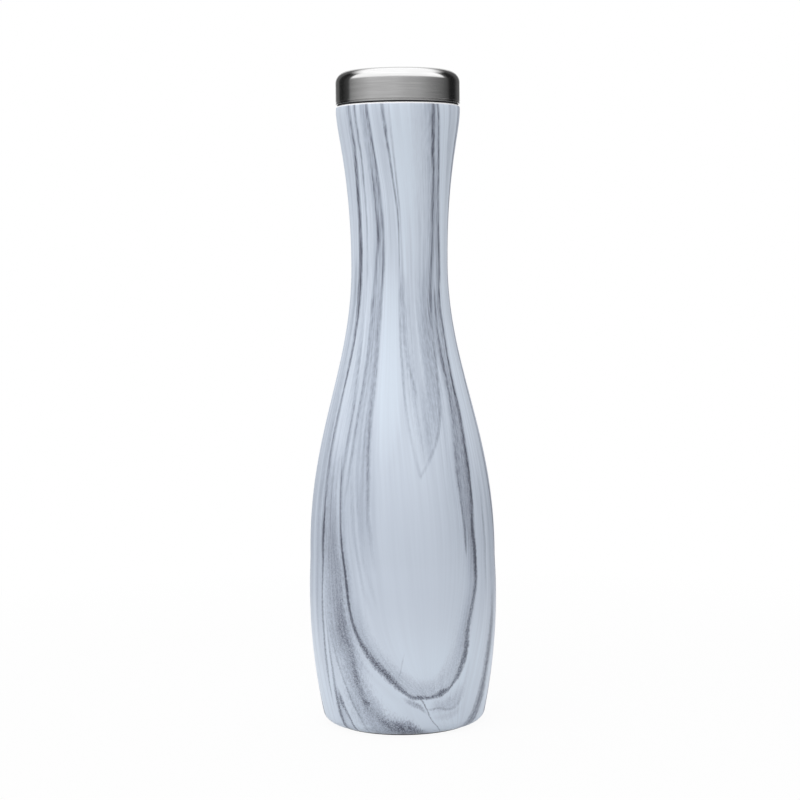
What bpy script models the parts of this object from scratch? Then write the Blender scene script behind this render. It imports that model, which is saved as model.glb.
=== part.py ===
"""A double-walled vacuum carafe for wine, with a threaded cap.

Metres, +Z up. The origin is the centre of the foot ring's lower face, and every piece is turned about the Z axis
from a closed outline of radii and heights. The two walls, the foil between them and the liner's floor all follow
the outline of the body's outer face, at their own depths below it.
"""
import math
from collections import namedtuple

import bmesh
import bpy
from mathutils import Vector

# Outer face of the body, with heights above the underside of the outer shell
FOOT_STANDOFF = 0.0008
BELLY_HEIGHT = 0.0792
WAIST_HEIGHT = 0.2152
BODY_HEIGHT = 0.2882
BASE_RADIUS = 0.0384
BELLY_RADIUS = 0.0435
WAIST_RADIUS = 0.0225
LIP_RADIUS = 0.0288
BASE_CORNER = 0.0052
LIP_CORNER = 0.0012
BASE_LEAN = math.radians(11.3)
LIP_LEAN = math.radians(-1.5)
BASE_HANDLE_SHARE = 0.55
BELLY_LOWER_HANDLE_SHARE = 0.10
BELLY_UPPER_HANDLE_SHARE = 0.43
WAIST_LOWER_HANDLE_SHARE = 0.36
WAIST_UPPER_HANDLE_SHARE = 0.61
LIP_HANDLE_SHARE = 0.15

# The two walls, and the gap that touching pieces keep
SHELL_WALL = 0.0008
LINER_WALL = 0.0008
VACUUM_GAP = 0.0027
CONTACT_GAP = 0.0003

# Mouth, lip and thread, with depths below the lip
LIP_FLAT = 0.0006
MOUTH_BORE = 0.0223
MOUTH_CORNER = 0.0010
THREAD_STARTS = 2
THREAD_PITCH = 0.0045
THREAD_HEIGHT = 0.0012
THREAD_CLEARANCE = 0.0004
THREAD_WIDTH_SHARE = 0.42
THREAD_FADE = 0.0010
NECK_THREAD_DEPTH = 0.0020
NECK_THREAD_LENGTH = 0.0096
PLUG_THREAD_DEPTH = 0.0024
PLUG_THREAD_LENGTH = 0.0096
NECK_PHASE_SHARE = 0.0
PLUG_PHASE_SHARE = 0.5

# Lower end of the liner, with heights above the underside of the outer shell
LINER_END_HEIGHT = 0.0095
FLOOR_RIM = 0.0022
FLOOR_CORNER = 0.0025
FLOOR_DOME = 0.0020
FLOOR_WALL = 0.0008

# Radiation foil on the liner, from above its lower end to part of the way from the waist to the thread
FOIL_LOW_MARGIN = 0.0085
FOIL_NECK_SHARE = 0.40
FOIL_THICKNESS = 0.0003

# Underside: foot ring and its seat, the opening in the shell, the cover and the vacuum bottom
FOOT_MARGIN = 0.0007
FOOT_WIDTH = 0.0040
FOOT_SEAT_DEPTH = 0.0012
FOOT_CHAMFER = 0.0003
FLANGE_MARGIN = 0.0005
COVER_RECESS = 0.0005
COVER_SHEET = 0.0006
COVER_CORNER = 0.0008
COVER_GROOVE_RADIUS = 0.0190
COVER_GROOVE_WIDTH = 0.0012
COVER_GROOVE_DEPTH = 0.0004
VACUUM_WALL = 0.0008
VACUUM_RIM_INSET = 0.0014
VACUUM_SLOPE = 0.0025
VACUUM_RISE = 0.0020
DIMPLE_RADIUS = 0.0050
DIMPLE_SLOPE = 0.0012
DIMPLE_DEPTH = 0.0016
DIMPLE_HOLE_RADIUS = 0.0008

# Getter, its clip and the solder bead
GETTER_OFFSET = 0.0140
GETTER_RADIUS = 0.0042
GETTER_THICKNESS = 0.0012
CLIP_WALL = 0.0005
BEAD_MARGIN = 0.0005
BEAD_THICKNESS = 0.0010

# Cap
HEM_GAP = 0.0006
CAP_OVERHANG = 0.0001
CAP_HEIGHT = 0.0152
CAP_CORNER = 0.0054
CAP_SHEET = 0.0007
HEM_HEIGHT = 0.0005
HEM_EASE = 0.0002
HEM_GROOVE = 0.0004
GASKET_THICKNESS = 0.0012
PLUG_DEPTH = 0.0145
PLUG_NOSE = 0.0018
PLUG_WALL = 0.0015
PLUG_RIM_MARGIN = 0.0005
DISC_THICKNESS = 0.0015
DISC_CHAMFER = 0.0004

# Fineness of the turned solids
COLUMNS = 32
SMALL_COLUMNS = 20
CORNER_STEPS = 3
LOWER_STEPS = 4
UPPER_STEPS = 7
NECK_STEPS = 5
THREAD_ROWS = 14
DOME_STEPS = 3
SHARP_ANGLE = math.radians(32)

# Heights and radii that follow from the sizes above
UNDERSIDE_Z = FOOT_STANDOFF
BELLY_Z = UNDERSIDE_Z + BELLY_HEIGHT
WAIST_Z = UNDERSIDE_Z + WAIST_HEIGHT
LIP_Z = UNDERSIDE_Z + BODY_HEIGHT
THREAD_HIGH_Z = LIP_Z - NECK_THREAD_DEPTH
THREAD_LOW_Z = THREAD_HIGH_Z - NECK_THREAD_LENGTH
LINER_END_Z = UNDERSIDE_Z + LINER_END_HEIGHT
HEM_Z = LIP_Z + HEM_GAP
CROWN_Z = HEM_Z + CAP_HEIGHT
GASKET_Z = LIP_Z + CONTACT_GAP
PLUG_FLANGE_Z = GASKET_Z + GASKET_THICKNESS + CONTACT_GAP
PLUG_RIM_Z = CROWN_Z - CAP_CORNER - PLUG_RIM_MARGIN
PLUG_TIP_Z = LIP_Z - PLUG_DEPTH
SEAT_Z = UNDERSIDE_Z + FOOT_SEAT_DEPTH
FLANGE_TOP_Z = SEAT_Z + SHELL_WALL
VACUUM_RIM_Z = FLANGE_TOP_Z + CONTACT_GAP
VACUUM_FLOOR_Z = VACUUM_RIM_Z + VACUUM_RISE
COVER_Z = UNDERSIDE_Z + COVER_RECESS
FLAT_RADIUS = BASE_RADIUS - BASE_CORNER
FOOT_RADIUS = FLAT_RADIUS - FOOT_MARGIN
FOOT_BORE = FOOT_RADIUS - FOOT_WIDTH
OPENING_RADIUS = FOOT_BORE - FLANGE_MARGIN
WELD_RADIUS = LIP_RADIUS - LIP_CORNER - LIP_FLAT
LINER_DEPTH = SHELL_WALL + VACUUM_GAP
BORE_DEPTH = LINER_DEPTH + LINER_WALL
PLUG_ROOT = MOUTH_BORE - THREAD_HEIGHT - THREAD_CLEARANCE
CAP_RADIUS = LIP_RADIUS + CAP_OVERHANG
CAP_BORE = CAP_RADIUS - CAP_SHEET
PLUG_RIM_RADIUS = CAP_BORE - CONTACT_GAP
PLUG_BORE = PLUG_ROOT - PLUG_WALL
PLUG_RIM_BORE = PLUG_RIM_RADIUS - PLUG_WALL

# A ring of the turned solid: its ridge is how far a thread's crest stands out of it, or into it where negative
Ring = namedtuple("Ring", "radius height ridge", defaults=[0.0])
Sample = namedtuple("Sample", "point normal")


def arc(centre, radius, start, end, steps=CORNER_STEPS):
    """Samples of a circle's edge between two directions, in the plane of radius and height."""
    samples = []
    for step in range(steps + 1):
        angle = start + (end - start) * step / steps
        normal = Vector((math.cos(angle), math.sin(angle)))
        samples.append(Sample(centre + radius * normal, normal))
    return samples


def climb(start, start_handle, end_handle, end, steps):
    """Samples of a cubic curve that climbs from start to end, without the start itself."""
    samples = []
    for step in range(1, steps + 1):
        t = step / steps
        u = 1 - t
        point = u**3 * start + 3 * u * u * t * start_handle + 3 * u * t * t * end_handle + t**3 * end
        along = u * u * (start_handle - start) + 2 * u * t * (end_handle - start_handle) + t * t * (end - end_handle)
        samples.append(Sample(point, Vector((along.y, -along.x)).normalized()))
    return samples


def body_side():
    """The body's outer face, from the flat of the base round the corner, up the side and over the lip."""
    corner_centre = Vector((FLAT_RADIUS, UNDERSIDE_Z + BASE_CORNER))
    samples = arc(corner_centre, BASE_CORNER, -math.pi / 2, -BASE_LEAN)
    base = samples[-1].point
    belly = Vector((BELLY_RADIUS, BELLY_Z))
    waist = Vector((WAIST_RADIUS, WAIST_Z))
    lip = Vector((LIP_RADIUS, LIP_Z - LIP_CORNER))
    up = Vector((0, 1))
    base_rise = (belly.y - base.y) * Vector((math.sin(BASE_LEAN), math.cos(BASE_LEAN)))
    lower_rise = (belly.y - base.y) * up
    upper_rise = (waist.y - belly.y) * up
    neck_rise = (lip.y - waist.y) * up
    lip_rise = (lip.y - waist.y) * Vector((math.sin(LIP_LEAN), math.cos(LIP_LEAN)))
    samples += climb(
        base, base + BASE_HANDLE_SHARE * base_rise, belly - BELLY_LOWER_HANDLE_SHARE * lower_rise, belly, LOWER_STEPS
    )
    samples += climb(
        belly, belly + BELLY_UPPER_HANDLE_SHARE * upper_rise, waist - WAIST_LOWER_HANDLE_SHARE * upper_rise, waist,
        UPPER_STEPS,
    )
    samples += climb(
        waist, waist + WAIST_UPPER_HANDLE_SHARE * neck_rise, lip - LIP_HANDLE_SHARE * lip_rise, lip, NECK_STEPS
    )
    lip_centre = lip - Vector((LIP_CORNER, 0))
    samples += arc(lip_centre, LIP_CORNER, 0, math.pi / 2)[1:]
    return samples


def between(samples, low, high):
    """The stretch of a side between two heights, with a new sample at each of its ends."""

    def sample_at(height):
        for below, above in zip(samples, samples[1:]):
            if below.point.y <= height <= above.point.y:
                part = (height - below.point.y) / (above.point.y - below.point.y)
                return Sample(below.point.lerp(above.point, part), below.normal.lerp(above.normal, part).normalized())
        return samples[-1]

    inside = [sample for sample in samples if low < sample.point.y < high]
    return [sample_at(low)] + inside + [sample_at(high)]


def sunk(samples, depth):
    """Rings of the face that lies a given depth below a side."""
    points = [sample.point - depth * sample.normal for sample in samples]
    return [Ring(point.x, point.y) for point in points]


def thread_shape(phase, low, high):
    """A screw thread's relief between two heights, from 0 at its root to 1 on the crest."""

    def shape(angle, height):
        across = (height - LIP_Z) / THREAD_PITCH - THREAD_STARTS * angle / math.tau + phase
        across -= round(across)
        if abs(across) * 2 >= THREAD_WIDTH_SHARE:
            return 0.0
        fade = min(1.0, (height - low) / THREAD_FADE, (high - height) / THREAD_FADE)
        return math.cos(math.pi * across / THREAD_WIDTH_SHARE) ** 2 * max(fade, 0.0)

    return shape


def thread_rings(radius, ridge, low, high):
    """Evenly spaced rings that carry a thread, from low to high."""
    heights = [low + (high - low) * row / THREAD_ROWS for row in range(THREAD_ROWS + 1)]
    return [Ring(radius, height, ridge) for height in heights]


def finish(name, colour, metallic, roughness):
    """A Principled material of one colour."""
    material = bpy.data.materials.new(name)
    material.use_nodes = True
    shader = material.node_tree.nodes["Principled BSDF"]
    shader.inputs["Base Color"].default_value = (*colour, 1.0)
    shader.inputs["Metallic"].default_value = metallic
    shader.inputs["Roughness"].default_value = roughness
    return material


def turned(name, outline, material, origin=(0.0, 0.0, 0.0), thread=None, columns=COLUMNS):
    """One solid turned about a vertical axis through origin; rings on the axis become single points."""
    origin = Vector(origin)
    shape = bmesh.new()
    rows = []
    for ring in outline:
        if ring.radius == 0:
            rows.append([shape.verts.new((0, 0, ring.height - origin.z))])
            continue
        row = []
        for column in range(columns):
            angle = math.tau * column / columns
            radius = ring.radius
            if ring.ridge:
                radius += ring.ridge * thread(angle, ring.height)
            place = (radius * math.cos(angle), radius * math.sin(angle), ring.height - origin.z)
            row.append(shape.verts.new(place))
        rows.append(row)
    for row, following in zip(rows, rows[1:] + rows[:1]):
        if len(row) == len(following) == 1:
            continue
        for column in range(columns):
            beside = column + 1
            corners = [
                row[column % len(row)],
                row[beside % len(row)],
                following[beside % len(following)],
                following[column % len(following)],
            ]
            shape.faces.new(list(dict.fromkeys(corners)))
    bmesh.ops.recalc_face_normals(shape, faces=shape.faces)
    mesh = bpy.data.meshes.new(name)
    shape.to_mesh(mesh)
    shape.free()
    mesh.shade_smooth()
    mesh.set_sharp_from_angle(angle=SHARP_ANGLE)
    mesh.materials.append(material)
    piece = bpy.data.objects.new(name, mesh)
    piece.location = origin
    bpy.context.scene.collection.objects.link(piece)
    return piece


def make_outer_shell(side, material):
    """Coated outer wall: seat for the foot ring, base corner, belly, waist and the lip's rolled edge."""
    seat_radius = FOOT_RADIUS + CONTACT_GAP
    underside = [Ring(OPENING_RADIUS, SEAT_Z), Ring(seat_radius, SEAT_Z), Ring(seat_radius, UNDERSIDE_Z)]
    outside = sunk(side, 0)
    inside = [ring for ring in sunk(side, SHELL_WALL) if ring.height > FLANGE_TOP_Z]
    lip = [Ring(WELD_RADIUS, LIP_Z), Ring(WELD_RADIUS, LIP_Z - SHELL_WALL)]
    flange = [Ring(inside[0].radius, FLANGE_TOP_Z), Ring(OPENING_RADIUS, FLANGE_TOP_Z)]
    return turned("outer_shell", underside + outside + lip + inside[::-1] + flange, material)


def make_inner_liner(side, material):
    """Inner wall: it follows the shell up to the neck, and holds the rolled thread and the mouth's flange."""
    wall = between(side, LINER_END_Z, THREAD_LOW_Z)

    def face(depth, neck_radius):
        rings = [ring for ring in sunk(wall, depth) if ring.height < THREAD_LOW_Z - CONTACT_GAP]
        belly = [ring for ring in rings if ring.height <= WAIST_Z]
        neck = [Ring(min(ring.radius, neck_radius), ring.height) for ring in rings if ring.height > WAIST_Z]
        return belly + neck + thread_rings(neck_radius, -THREAD_HEIGHT, THREAD_LOW_Z, THREAD_HIGH_Z)

    corner_centre = Vector((MOUTH_BORE + MOUTH_CORNER, LIP_Z - MOUTH_CORNER))
    corner = sunk(arc(corner_centre, -MOUTH_CORNER, 0, -math.pi / 2), 0)
    flange_radius = WELD_RADIUS - CONTACT_GAP
    outer_radius = MOUTH_BORE + LINER_WALL
    mouth = corner + [
        Ring(flange_radius, LIP_Z),
        Ring(flange_radius, LIP_Z - LINER_WALL),
        Ring(outer_radius, LIP_Z - LINER_WALL),
    ]
    outline = face(BORE_DEPTH, MOUTH_BORE) + mouth + face(LINER_DEPTH, outer_radius)[::-1]
    thread = thread_shape(NECK_PHASE_SHARE, THREAD_LOW_Z, THREAD_HIGH_Z)
    return turned("inner_liner", outline, material, thread=thread)


def make_liner_bottom(side, material):
    """Domed floor of the inner vessel, with a rim that stands inside the liner's lower end."""
    end = sunk(between(side, LINER_END_Z, LIP_Z)[:1], BORE_DEPTH)[0]
    radius = end.radius - CONTACT_GAP
    centre = Vector((radius - FLOOR_CORNER, end.height))
    low_z = end.height - FLOOR_CORNER
    dome = []
    for step in range(DOME_STEPS):
        part = step / DOME_STEPS
        dome.append(Ring(centre.x * part, low_z + FLOOR_DOME * (1 - part * part)))
    lower = dome + sunk(arc(centre, FLOOR_CORNER, -math.pi / 2, 0), 0)
    upper = [Ring(ring.radius, ring.height + FLOOR_WALL) for ring in dome]
    upper += sunk(arc(centre, FLOOR_CORNER, -math.pi / 2, 0), FLOOR_WALL)
    top_z = end.height + FLOOR_RIM
    rim = [Ring(radius, top_z), Ring(radius - FLOOR_WALL, top_z)]
    return turned("liner_bottom", lower + rim + upper[::-1], material)


def make_copper_foil(side, material):
    """Radiation foil round the liner, in the vacuum."""
    neck = THREAD_LOW_Z - WAIST_Z
    wrap = between(side, LINER_END_Z + FOIL_LOW_MARGIN, WAIST_Z + FOIL_NECK_SHARE * neck)
    inside_depth = LINER_DEPTH - CONTACT_GAP
    outline = sunk(wrap, inside_depth - FOIL_THICKNESS) + sunk(wrap, inside_depth)[::-1]
    return turned("copper_foil", outline, material)


def make_vacuum_bottom(material):
    """Dish welded inside the shell's flange, raised in the middle, with the evacuation hole in its dimple."""
    rim_bore = OPENING_RADIUS - VACUUM_RIM_INSET
    dimple_z = VACUUM_FLOOR_Z + DIMPLE_DEPTH
    lower = [
        Ring(FLAT_RADIUS, VACUUM_RIM_Z),
        Ring(rim_bore, VACUUM_RIM_Z),
        Ring(rim_bore - VACUUM_SLOPE, VACUUM_FLOOR_Z),
        Ring(DIMPLE_RADIUS, VACUUM_FLOOR_Z),
        Ring(DIMPLE_RADIUS - DIMPLE_SLOPE, dimple_z),
        Ring(DIMPLE_HOLE_RADIUS, dimple_z),
    ]
    upper = [Ring(ring.radius, ring.height + VACUUM_WALL) for ring in lower]
    return turned("vacuum_bottom", lower + upper[::-1], material)


def make_vacuum_seal(material):
    """Bead of solder that shuts the hole from inside the dimple."""
    radius = DIMPLE_RADIUS - DIMPLE_SLOPE - BEAD_MARGIN
    top_z = VACUUM_FLOOR_Z + DIMPLE_DEPTH - CONTACT_GAP
    mid_z = top_z - BEAD_THICKNESS / 2
    outline = [
        Ring(0, top_z - BEAD_THICKNESS),
        Ring(radius * math.sqrt(0.5), top_z - BEAD_THICKNESS * math.sqrt(0.5)),
        Ring(radius, mid_z),
        Ring(radius * math.sqrt(0.5), top_z),
        Ring(0, top_z),
    ]
    return turned("vacuum_seal", outline, material, columns=SMALL_COLUMNS)


def make_getter(pill_material, clip_material):
    """Getter pill, and the shallow clip that holds it on the vacuum bottom."""
    clip_z = VACUUM_FLOOR_Z + VACUUM_WALL + CONTACT_GAP
    pill_z = clip_z + CLIP_WALL + CONTACT_GAP
    top_z = pill_z + GETTER_THICKNESS
    bore = GETTER_RADIUS + CONTACT_GAP
    origin = (GETTER_OFFSET, 0, clip_z)
    pill = [Ring(0, pill_z), Ring(GETTER_RADIUS, pill_z), Ring(GETTER_RADIUS, top_z), Ring(0, top_z)]
    clip = [
        Ring(0, clip_z),
        Ring(bore + CLIP_WALL, clip_z),
        Ring(bore + CLIP_WALL, top_z),
        Ring(bore, top_z),
        Ring(bore, clip_z + CLIP_WALL),
        Ring(0, clip_z + CLIP_WALL),
    ]
    turned("getter", pill, pill_material, origin, columns=SMALL_COLUMNS)
    turned("getter_clip", clip, clip_material, origin, columns=SMALL_COLUMNS)


def make_base_cover(material):
    """Pressed disc in the shell's opening, with a turned groove in its face."""
    radius = OPENING_RADIUS - CONTACT_GAP
    top_z = VACUUM_RIM_Z - CONTACT_GAP
    corner_centre = Vector((radius - COVER_CORNER, COVER_Z + COVER_CORNER))
    corner = arc(corner_centre, COVER_CORNER, -math.pi / 2, 0)
    groove_bore = COVER_GROOVE_RADIUS - COVER_GROOVE_WIDTH
    groove_z = COVER_Z + COVER_GROOVE_DEPTH
    face = [
        Ring(0, COVER_Z),
        Ring(groove_bore - COVER_GROOVE_DEPTH, COVER_Z),
        Ring(groove_bore, groove_z),
        Ring(COVER_GROOVE_RADIUS, groove_z),
        Ring(COVER_GROOVE_RADIUS + COVER_GROOVE_DEPTH, COVER_Z),
    ]
    back = [Ring(ring.radius, ring.height + COVER_SHEET) for ring in face]
    lower = face + sunk(corner, 0) + [Ring(radius, top_z)]
    upper = back + sunk(corner, COVER_SHEET) + [Ring(radius - COVER_SHEET, top_z)]
    return turned("base_cover", lower + upper[::-1], material)


def make_foot_ring(material):
    """Silicone ring in its seat under the shell, which the carafe stands on."""
    top_z = SEAT_Z - CONTACT_GAP
    outline = [
        Ring(FOOT_BORE + FOOT_CHAMFER, 0),
        Ring(FOOT_RADIUS - FOOT_CHAMFER, 0),
        Ring(FOOT_RADIUS, FOOT_CHAMFER),
        Ring(FOOT_RADIUS, top_z),
        Ring(FOOT_BORE, top_z),
        Ring(FOOT_BORE, FOOT_CHAMFER),
    ]
    return turned("foot_ring", outline, material)


def make_cap_shell(material, origin):
    """Brushed cover of the cap, with a hem at its lower edge and a rounded shoulder."""
    shoulder_centre = Vector((CAP_RADIUS - CAP_CORNER, CROWN_Z - CAP_CORNER))
    shoulder = arc(shoulder_centre, CAP_CORNER, 0, math.pi / 2, 2 * CORNER_STEPS)
    hem_z = HEM_Z + HEM_HEIGHT
    hem = [
        Ring(CAP_RADIUS - HEM_EASE, HEM_Z),
        Ring(CAP_RADIUS, HEM_Z + HEM_EASE),
        Ring(CAP_RADIUS, hem_z),
        Ring(CAP_RADIUS - HEM_EASE, hem_z + HEM_EASE),
        Ring(CAP_RADIUS - HEM_EASE, hem_z + HEM_GROOVE),
        Ring(CAP_RADIUS, hem_z + HEM_GROOVE + HEM_EASE),
    ]
    outside = hem + sunk(shoulder, 0) + [Ring(0, CROWN_Z)]
    inside = [Ring(CAP_BORE, HEM_Z)] + sunk(shoulder, CAP_SHEET) + [Ring(0, CROWN_Z - CAP_SHEET)]
    return turned("cap_shell", outside + inside[::-1], material, origin)


def make_plug(material, origin):
    """Moulded stopper: a threaded cup below the flange, and the wider cup inside the cap shell above it."""
    nose_centre = Vector((PLUG_ROOT - PLUG_NOSE, PLUG_TIP_Z + PLUG_NOSE))
    nose = sunk(arc(nose_centre, PLUG_NOSE, -math.pi / 2, 0), 0)
    thread_high = LIP_Z - PLUG_THREAD_DEPTH
    thread_low = thread_high - PLUG_THREAD_LENGTH
    thread = thread_rings(PLUG_ROOT, THREAD_HEIGHT, thread_low, thread_high)
    outside = [Ring(0, PLUG_TIP_Z)] + nose + thread + [
        Ring(PLUG_ROOT, PLUG_FLANGE_Z),
        Ring(PLUG_RIM_RADIUS, PLUG_FLANGE_Z),
        Ring(PLUG_RIM_RADIUS, PLUG_RIM_Z),
    ]
    inside = [
        Ring(PLUG_RIM_BORE, PLUG_RIM_Z),
        Ring(PLUG_RIM_BORE, PLUG_FLANGE_Z + PLUG_WALL),
        Ring(PLUG_BORE, PLUG_FLANGE_Z + PLUG_WALL),
        Ring(PLUG_BORE, PLUG_TIP_Z + PLUG_WALL),
        Ring(0, PLUG_TIP_Z + PLUG_WALL),
    ]
    relief = thread_shape(PLUG_PHASE_SHARE, thread_low, thread_high)
    return turned("plug", outside + inside, material, origin, thread=relief)


def make_core_disc(material, origin):
    """Disc that closes the plug over the foam."""
    radius = PLUG_RIM_BORE - CONTACT_GAP
    low_z = PLUG_RIM_Z - DISC_THICKNESS
    outline = [
        Ring(0, low_z),
        Ring(radius - DISC_CHAMFER, low_z),
        Ring(radius, low_z + DISC_CHAMFER),
        Ring(radius, PLUG_RIM_Z - DISC_CHAMFER),
        Ring(radius - DISC_CHAMFER, PLUG_RIM_Z),
        Ring(0, PLUG_RIM_Z),
    ]
    return turned("core_disc", outline, material, origin)


def make_foam_core(material, origin):
    """Insulation that fills both cups of the plug."""
    low_z = PLUG_TIP_Z + PLUG_WALL + CONTACT_GAP
    step_z = PLUG_FLANGE_Z + PLUG_WALL + CONTACT_GAP
    top_z = PLUG_RIM_Z - DISC_THICKNESS - CONTACT_GAP
    narrow = PLUG_BORE - CONTACT_GAP
    wide = PLUG_RIM_BORE - CONTACT_GAP
    outline = [Ring(0, low_z), Ring(narrow, low_z), Ring(narrow, step_z), Ring(wide, step_z), Ring(wide, top_z)]
    return turned("foam_core", outline + [Ring(0, top_z)], material, origin)


def make_rim_gasket(material, origin):
    """Flat silicone ring between the plug's flange and the carafe's lip."""
    bore = PLUG_ROOT + CONTACT_GAP
    top_z = GASKET_Z + GASKET_THICKNESS
    outline = [
        Ring(bore, GASKET_Z),
        Ring(PLUG_RIM_RADIUS, GASKET_Z),
        Ring(PLUG_RIM_RADIUS, top_z),
        Ring(bore, top_z),
    ]
    return turned("rim_gasket", outline, material, origin)


def make_carafe():
    """All the pieces, each with its finish."""
    steel = finish("brushed_steel", (0.55, 0.55, 0.54), 1.0, 0.34)
    inner_steel = finish("inner_steel", (0.60, 0.60, 0.59), 1.0, 0.28)
    coating = finish("pale_coating", (0.60, 0.67, 0.74), 0.0, 0.42)
    silicone = finish("dark_silicone", (0.03, 0.03, 0.035), 0.0, 0.70)
    plastic = finish("black_plastic", (0.05, 0.05, 0.055), 0.0, 0.45)
    foam = finish("white_foam", (0.80, 0.79, 0.74), 0.0, 0.95)
    copper = finish("copper", (0.80, 0.42, 0.27), 1.0, 0.30)
    getter_alloy = finish("getter_alloy", (0.20, 0.19, 0.18), 1.0, 0.60)
    solder = finish("solder_glass", (0.10, 0.12, 0.11), 0.0, 0.20)

    side = body_side()
    make_outer_shell(side, coating)
    make_inner_liner(side, inner_steel)
    make_liner_bottom(side, inner_steel)
    make_copper_foil(side, copper)
    make_vacuum_bottom(inner_steel)
    make_vacuum_seal(solder)
    make_getter(getter_alloy, inner_steel)
    make_base_cover(steel)
    make_foot_ring(silicone)

    cap_origin = (0, 0, LIP_Z)
    make_cap_shell(steel, cap_origin)
    make_plug(plastic, cap_origin)
    make_foam_core(foam, cap_origin)
    make_core_disc(plastic, cap_origin)
    make_rim_gasket(silicone, cap_origin)


for existing in list(bpy.data.objects):
    bpy.data.objects.remove(existing)
make_carafe()
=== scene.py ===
"""The looks of a double-walled wine carafe: a pale coating with grey marble veins, and a brushed steel cap.

Metres, +Z up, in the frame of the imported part. Every piece is turned about the Z axis. An azimuth is in
degrees round that axis from the side that faces the camera, and positive to the camera's right.
"""
import math
from typing import NamedTuple

import bpy
import numpy as np
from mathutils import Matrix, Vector


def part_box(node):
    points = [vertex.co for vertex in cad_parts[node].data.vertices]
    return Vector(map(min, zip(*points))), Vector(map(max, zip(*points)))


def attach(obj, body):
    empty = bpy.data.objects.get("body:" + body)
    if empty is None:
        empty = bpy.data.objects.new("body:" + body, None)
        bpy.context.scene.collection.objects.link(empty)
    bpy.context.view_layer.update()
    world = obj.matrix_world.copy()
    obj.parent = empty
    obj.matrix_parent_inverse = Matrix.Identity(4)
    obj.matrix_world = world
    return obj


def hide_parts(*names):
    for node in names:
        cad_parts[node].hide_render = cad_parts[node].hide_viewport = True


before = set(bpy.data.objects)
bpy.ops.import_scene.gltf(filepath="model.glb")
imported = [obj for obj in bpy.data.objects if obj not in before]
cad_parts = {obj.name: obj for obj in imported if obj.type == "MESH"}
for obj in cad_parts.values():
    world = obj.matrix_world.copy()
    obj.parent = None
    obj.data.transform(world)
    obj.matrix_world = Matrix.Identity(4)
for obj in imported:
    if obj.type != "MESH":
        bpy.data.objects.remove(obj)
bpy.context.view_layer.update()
MM = 0.001
PERCENT = 100

# Outer face of the body, with heights above the underside of the outer shell
BELLY_HEIGHT = 0.0792
WAIST_HEIGHT = 0.2152
BASE_RADIUS = 0.0384
BELLY_RADIUS = 0.0435
WAIST_RADIUS = 0.0225
LIP_RADIUS = 0.0288
BASE_CORNER = 0.0052
LIP_CORNER = 0.0012
BASE_LEAN = math.radians(11.3)
LIP_LEAN = math.radians(-1.5)
BASE_HANDLE_SHARE = 0.55
BELLY_LOWER_HANDLE_SHARE = 0.10
BELLY_UPPER_HANDLE_SHARE = 0.43
WAIST_LOWER_HANDLE_SHARE = 0.36
WAIST_UPPER_HANDLE_SHARE = 0.61
LIP_HANDLE_SHARE = 0.15

# Walls, and the gap that touching pieces keep
SHELL_WALL = 0.0008
LINER_WALL = 0.0008
VACUUM_GAP = 0.0027
CONTACT_GAP = 0.0003

# Mouth and threads, with depths below the lip
LIP_FLAT = 0.0006
# How far below the lip the painted highlight along its rounded edge reaches
LIP_HIGHLIGHT_DEPTH = 0.0010
MOUTH_BORE = 0.0223
MOUTH_CORNER = 0.0010
THREAD_STARTS = 2
THREAD_PITCH = 0.0045
THREAD_HEIGHT = 0.0012
THREAD_CLEARANCE = 0.0004
THREAD_WIDTH_SHARE = 0.42
THREAD_FADE = 0.0010
NECK_THREAD_DEPTH = 0.0020
PLUG_THREAD_DEPTH = 0.0024
THREAD_LENGTH = 0.0096
NECK_PHASE_SHARE = 0.0
PLUG_PHASE_SHARE = 0.5

# Floor of the inner vessel
LINER_END_HEIGHT = 0.0095
FLOOR_RIM = 0.0022
FLOOR_CORNER = 0.0025
FLOOR_DOME = 0.0020

# Underside
FOOT_MARGIN = 0.0007
FOOT_WIDTH = 0.0040
FOOT_SEAT_DEPTH = 0.0012
FOOT_CHAMFER = 0.0003
FLANGE_MARGIN = 0.0005
COVER_RECESS = 0.0005
COVER_SHEET = 0.0006
COVER_CORNER = 0.0008
COVER_GROOVE_RADIUS = 0.0190
COVER_GROOVE_WIDTH = 0.0012
COVER_GROOVE_DEPTH = 0.0004

# Cap
CAP_OVERHANG = 0.0001
CAP_CORNER = 0.0054
CAP_SHEET = 0.0007
HEM_HEIGHT = 0.0005
HEM_EASE = 0.0002
HEM_GROOVE = 0.0004
GASKET_THICKNESS = 0.0012
GASKET_ROUND = 0.0003
PLUG_DEPTH = 0.0145
PLUG_NOSE = 0.0018
PLUG_WALL = 0.0015
PLUG_RIM_MARGIN = 0.0005
PLUG_EDGE = 0.0002

# Fineness of the turned meshes and of the veins' curves
COLUMNS = 192
CORNER_STEPS = 10
EDGE_STEPS = 4
LOWER_STEPS = 46
UPPER_STEPS = 92
NECK_STEPS = 60
INNER_STRIDE = 4
GROOVE_ROWS = 13
THREAD_ROWS = 72
CURVE_STEPS = 6
SMOOTH_ANGLE = math.radians(35)

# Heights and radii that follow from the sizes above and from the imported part
UNDERSIDE_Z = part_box("outer_shell")[0].z
LIP_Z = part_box("outer_shell")[1].z
HEM_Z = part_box("cap_shell")[0].z
CROWN_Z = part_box("cap_shell")[1].z
BELLY_Z = UNDERSIDE_Z + BELLY_HEIGHT
WAIST_Z = UNDERSIDE_Z + WAIST_HEIGHT
LINER_END_Z = UNDERSIDE_Z + LINER_END_HEIGHT
NECK_THREAD_Z = LIP_Z - NECK_THREAD_DEPTH - THREAD_LENGTH
PLUG_THREAD_Z = LIP_Z - PLUG_THREAD_DEPTH - THREAD_LENGTH
GASKET_Z = LIP_Z + CONTACT_GAP
PLUG_FLANGE_Z = GASKET_Z + GASKET_THICKNESS + CONTACT_GAP
PLUG_RIM_Z = CROWN_Z - CAP_CORNER - PLUG_RIM_MARGIN
PLUG_TIP_Z = LIP_Z - PLUG_DEPTH
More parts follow.
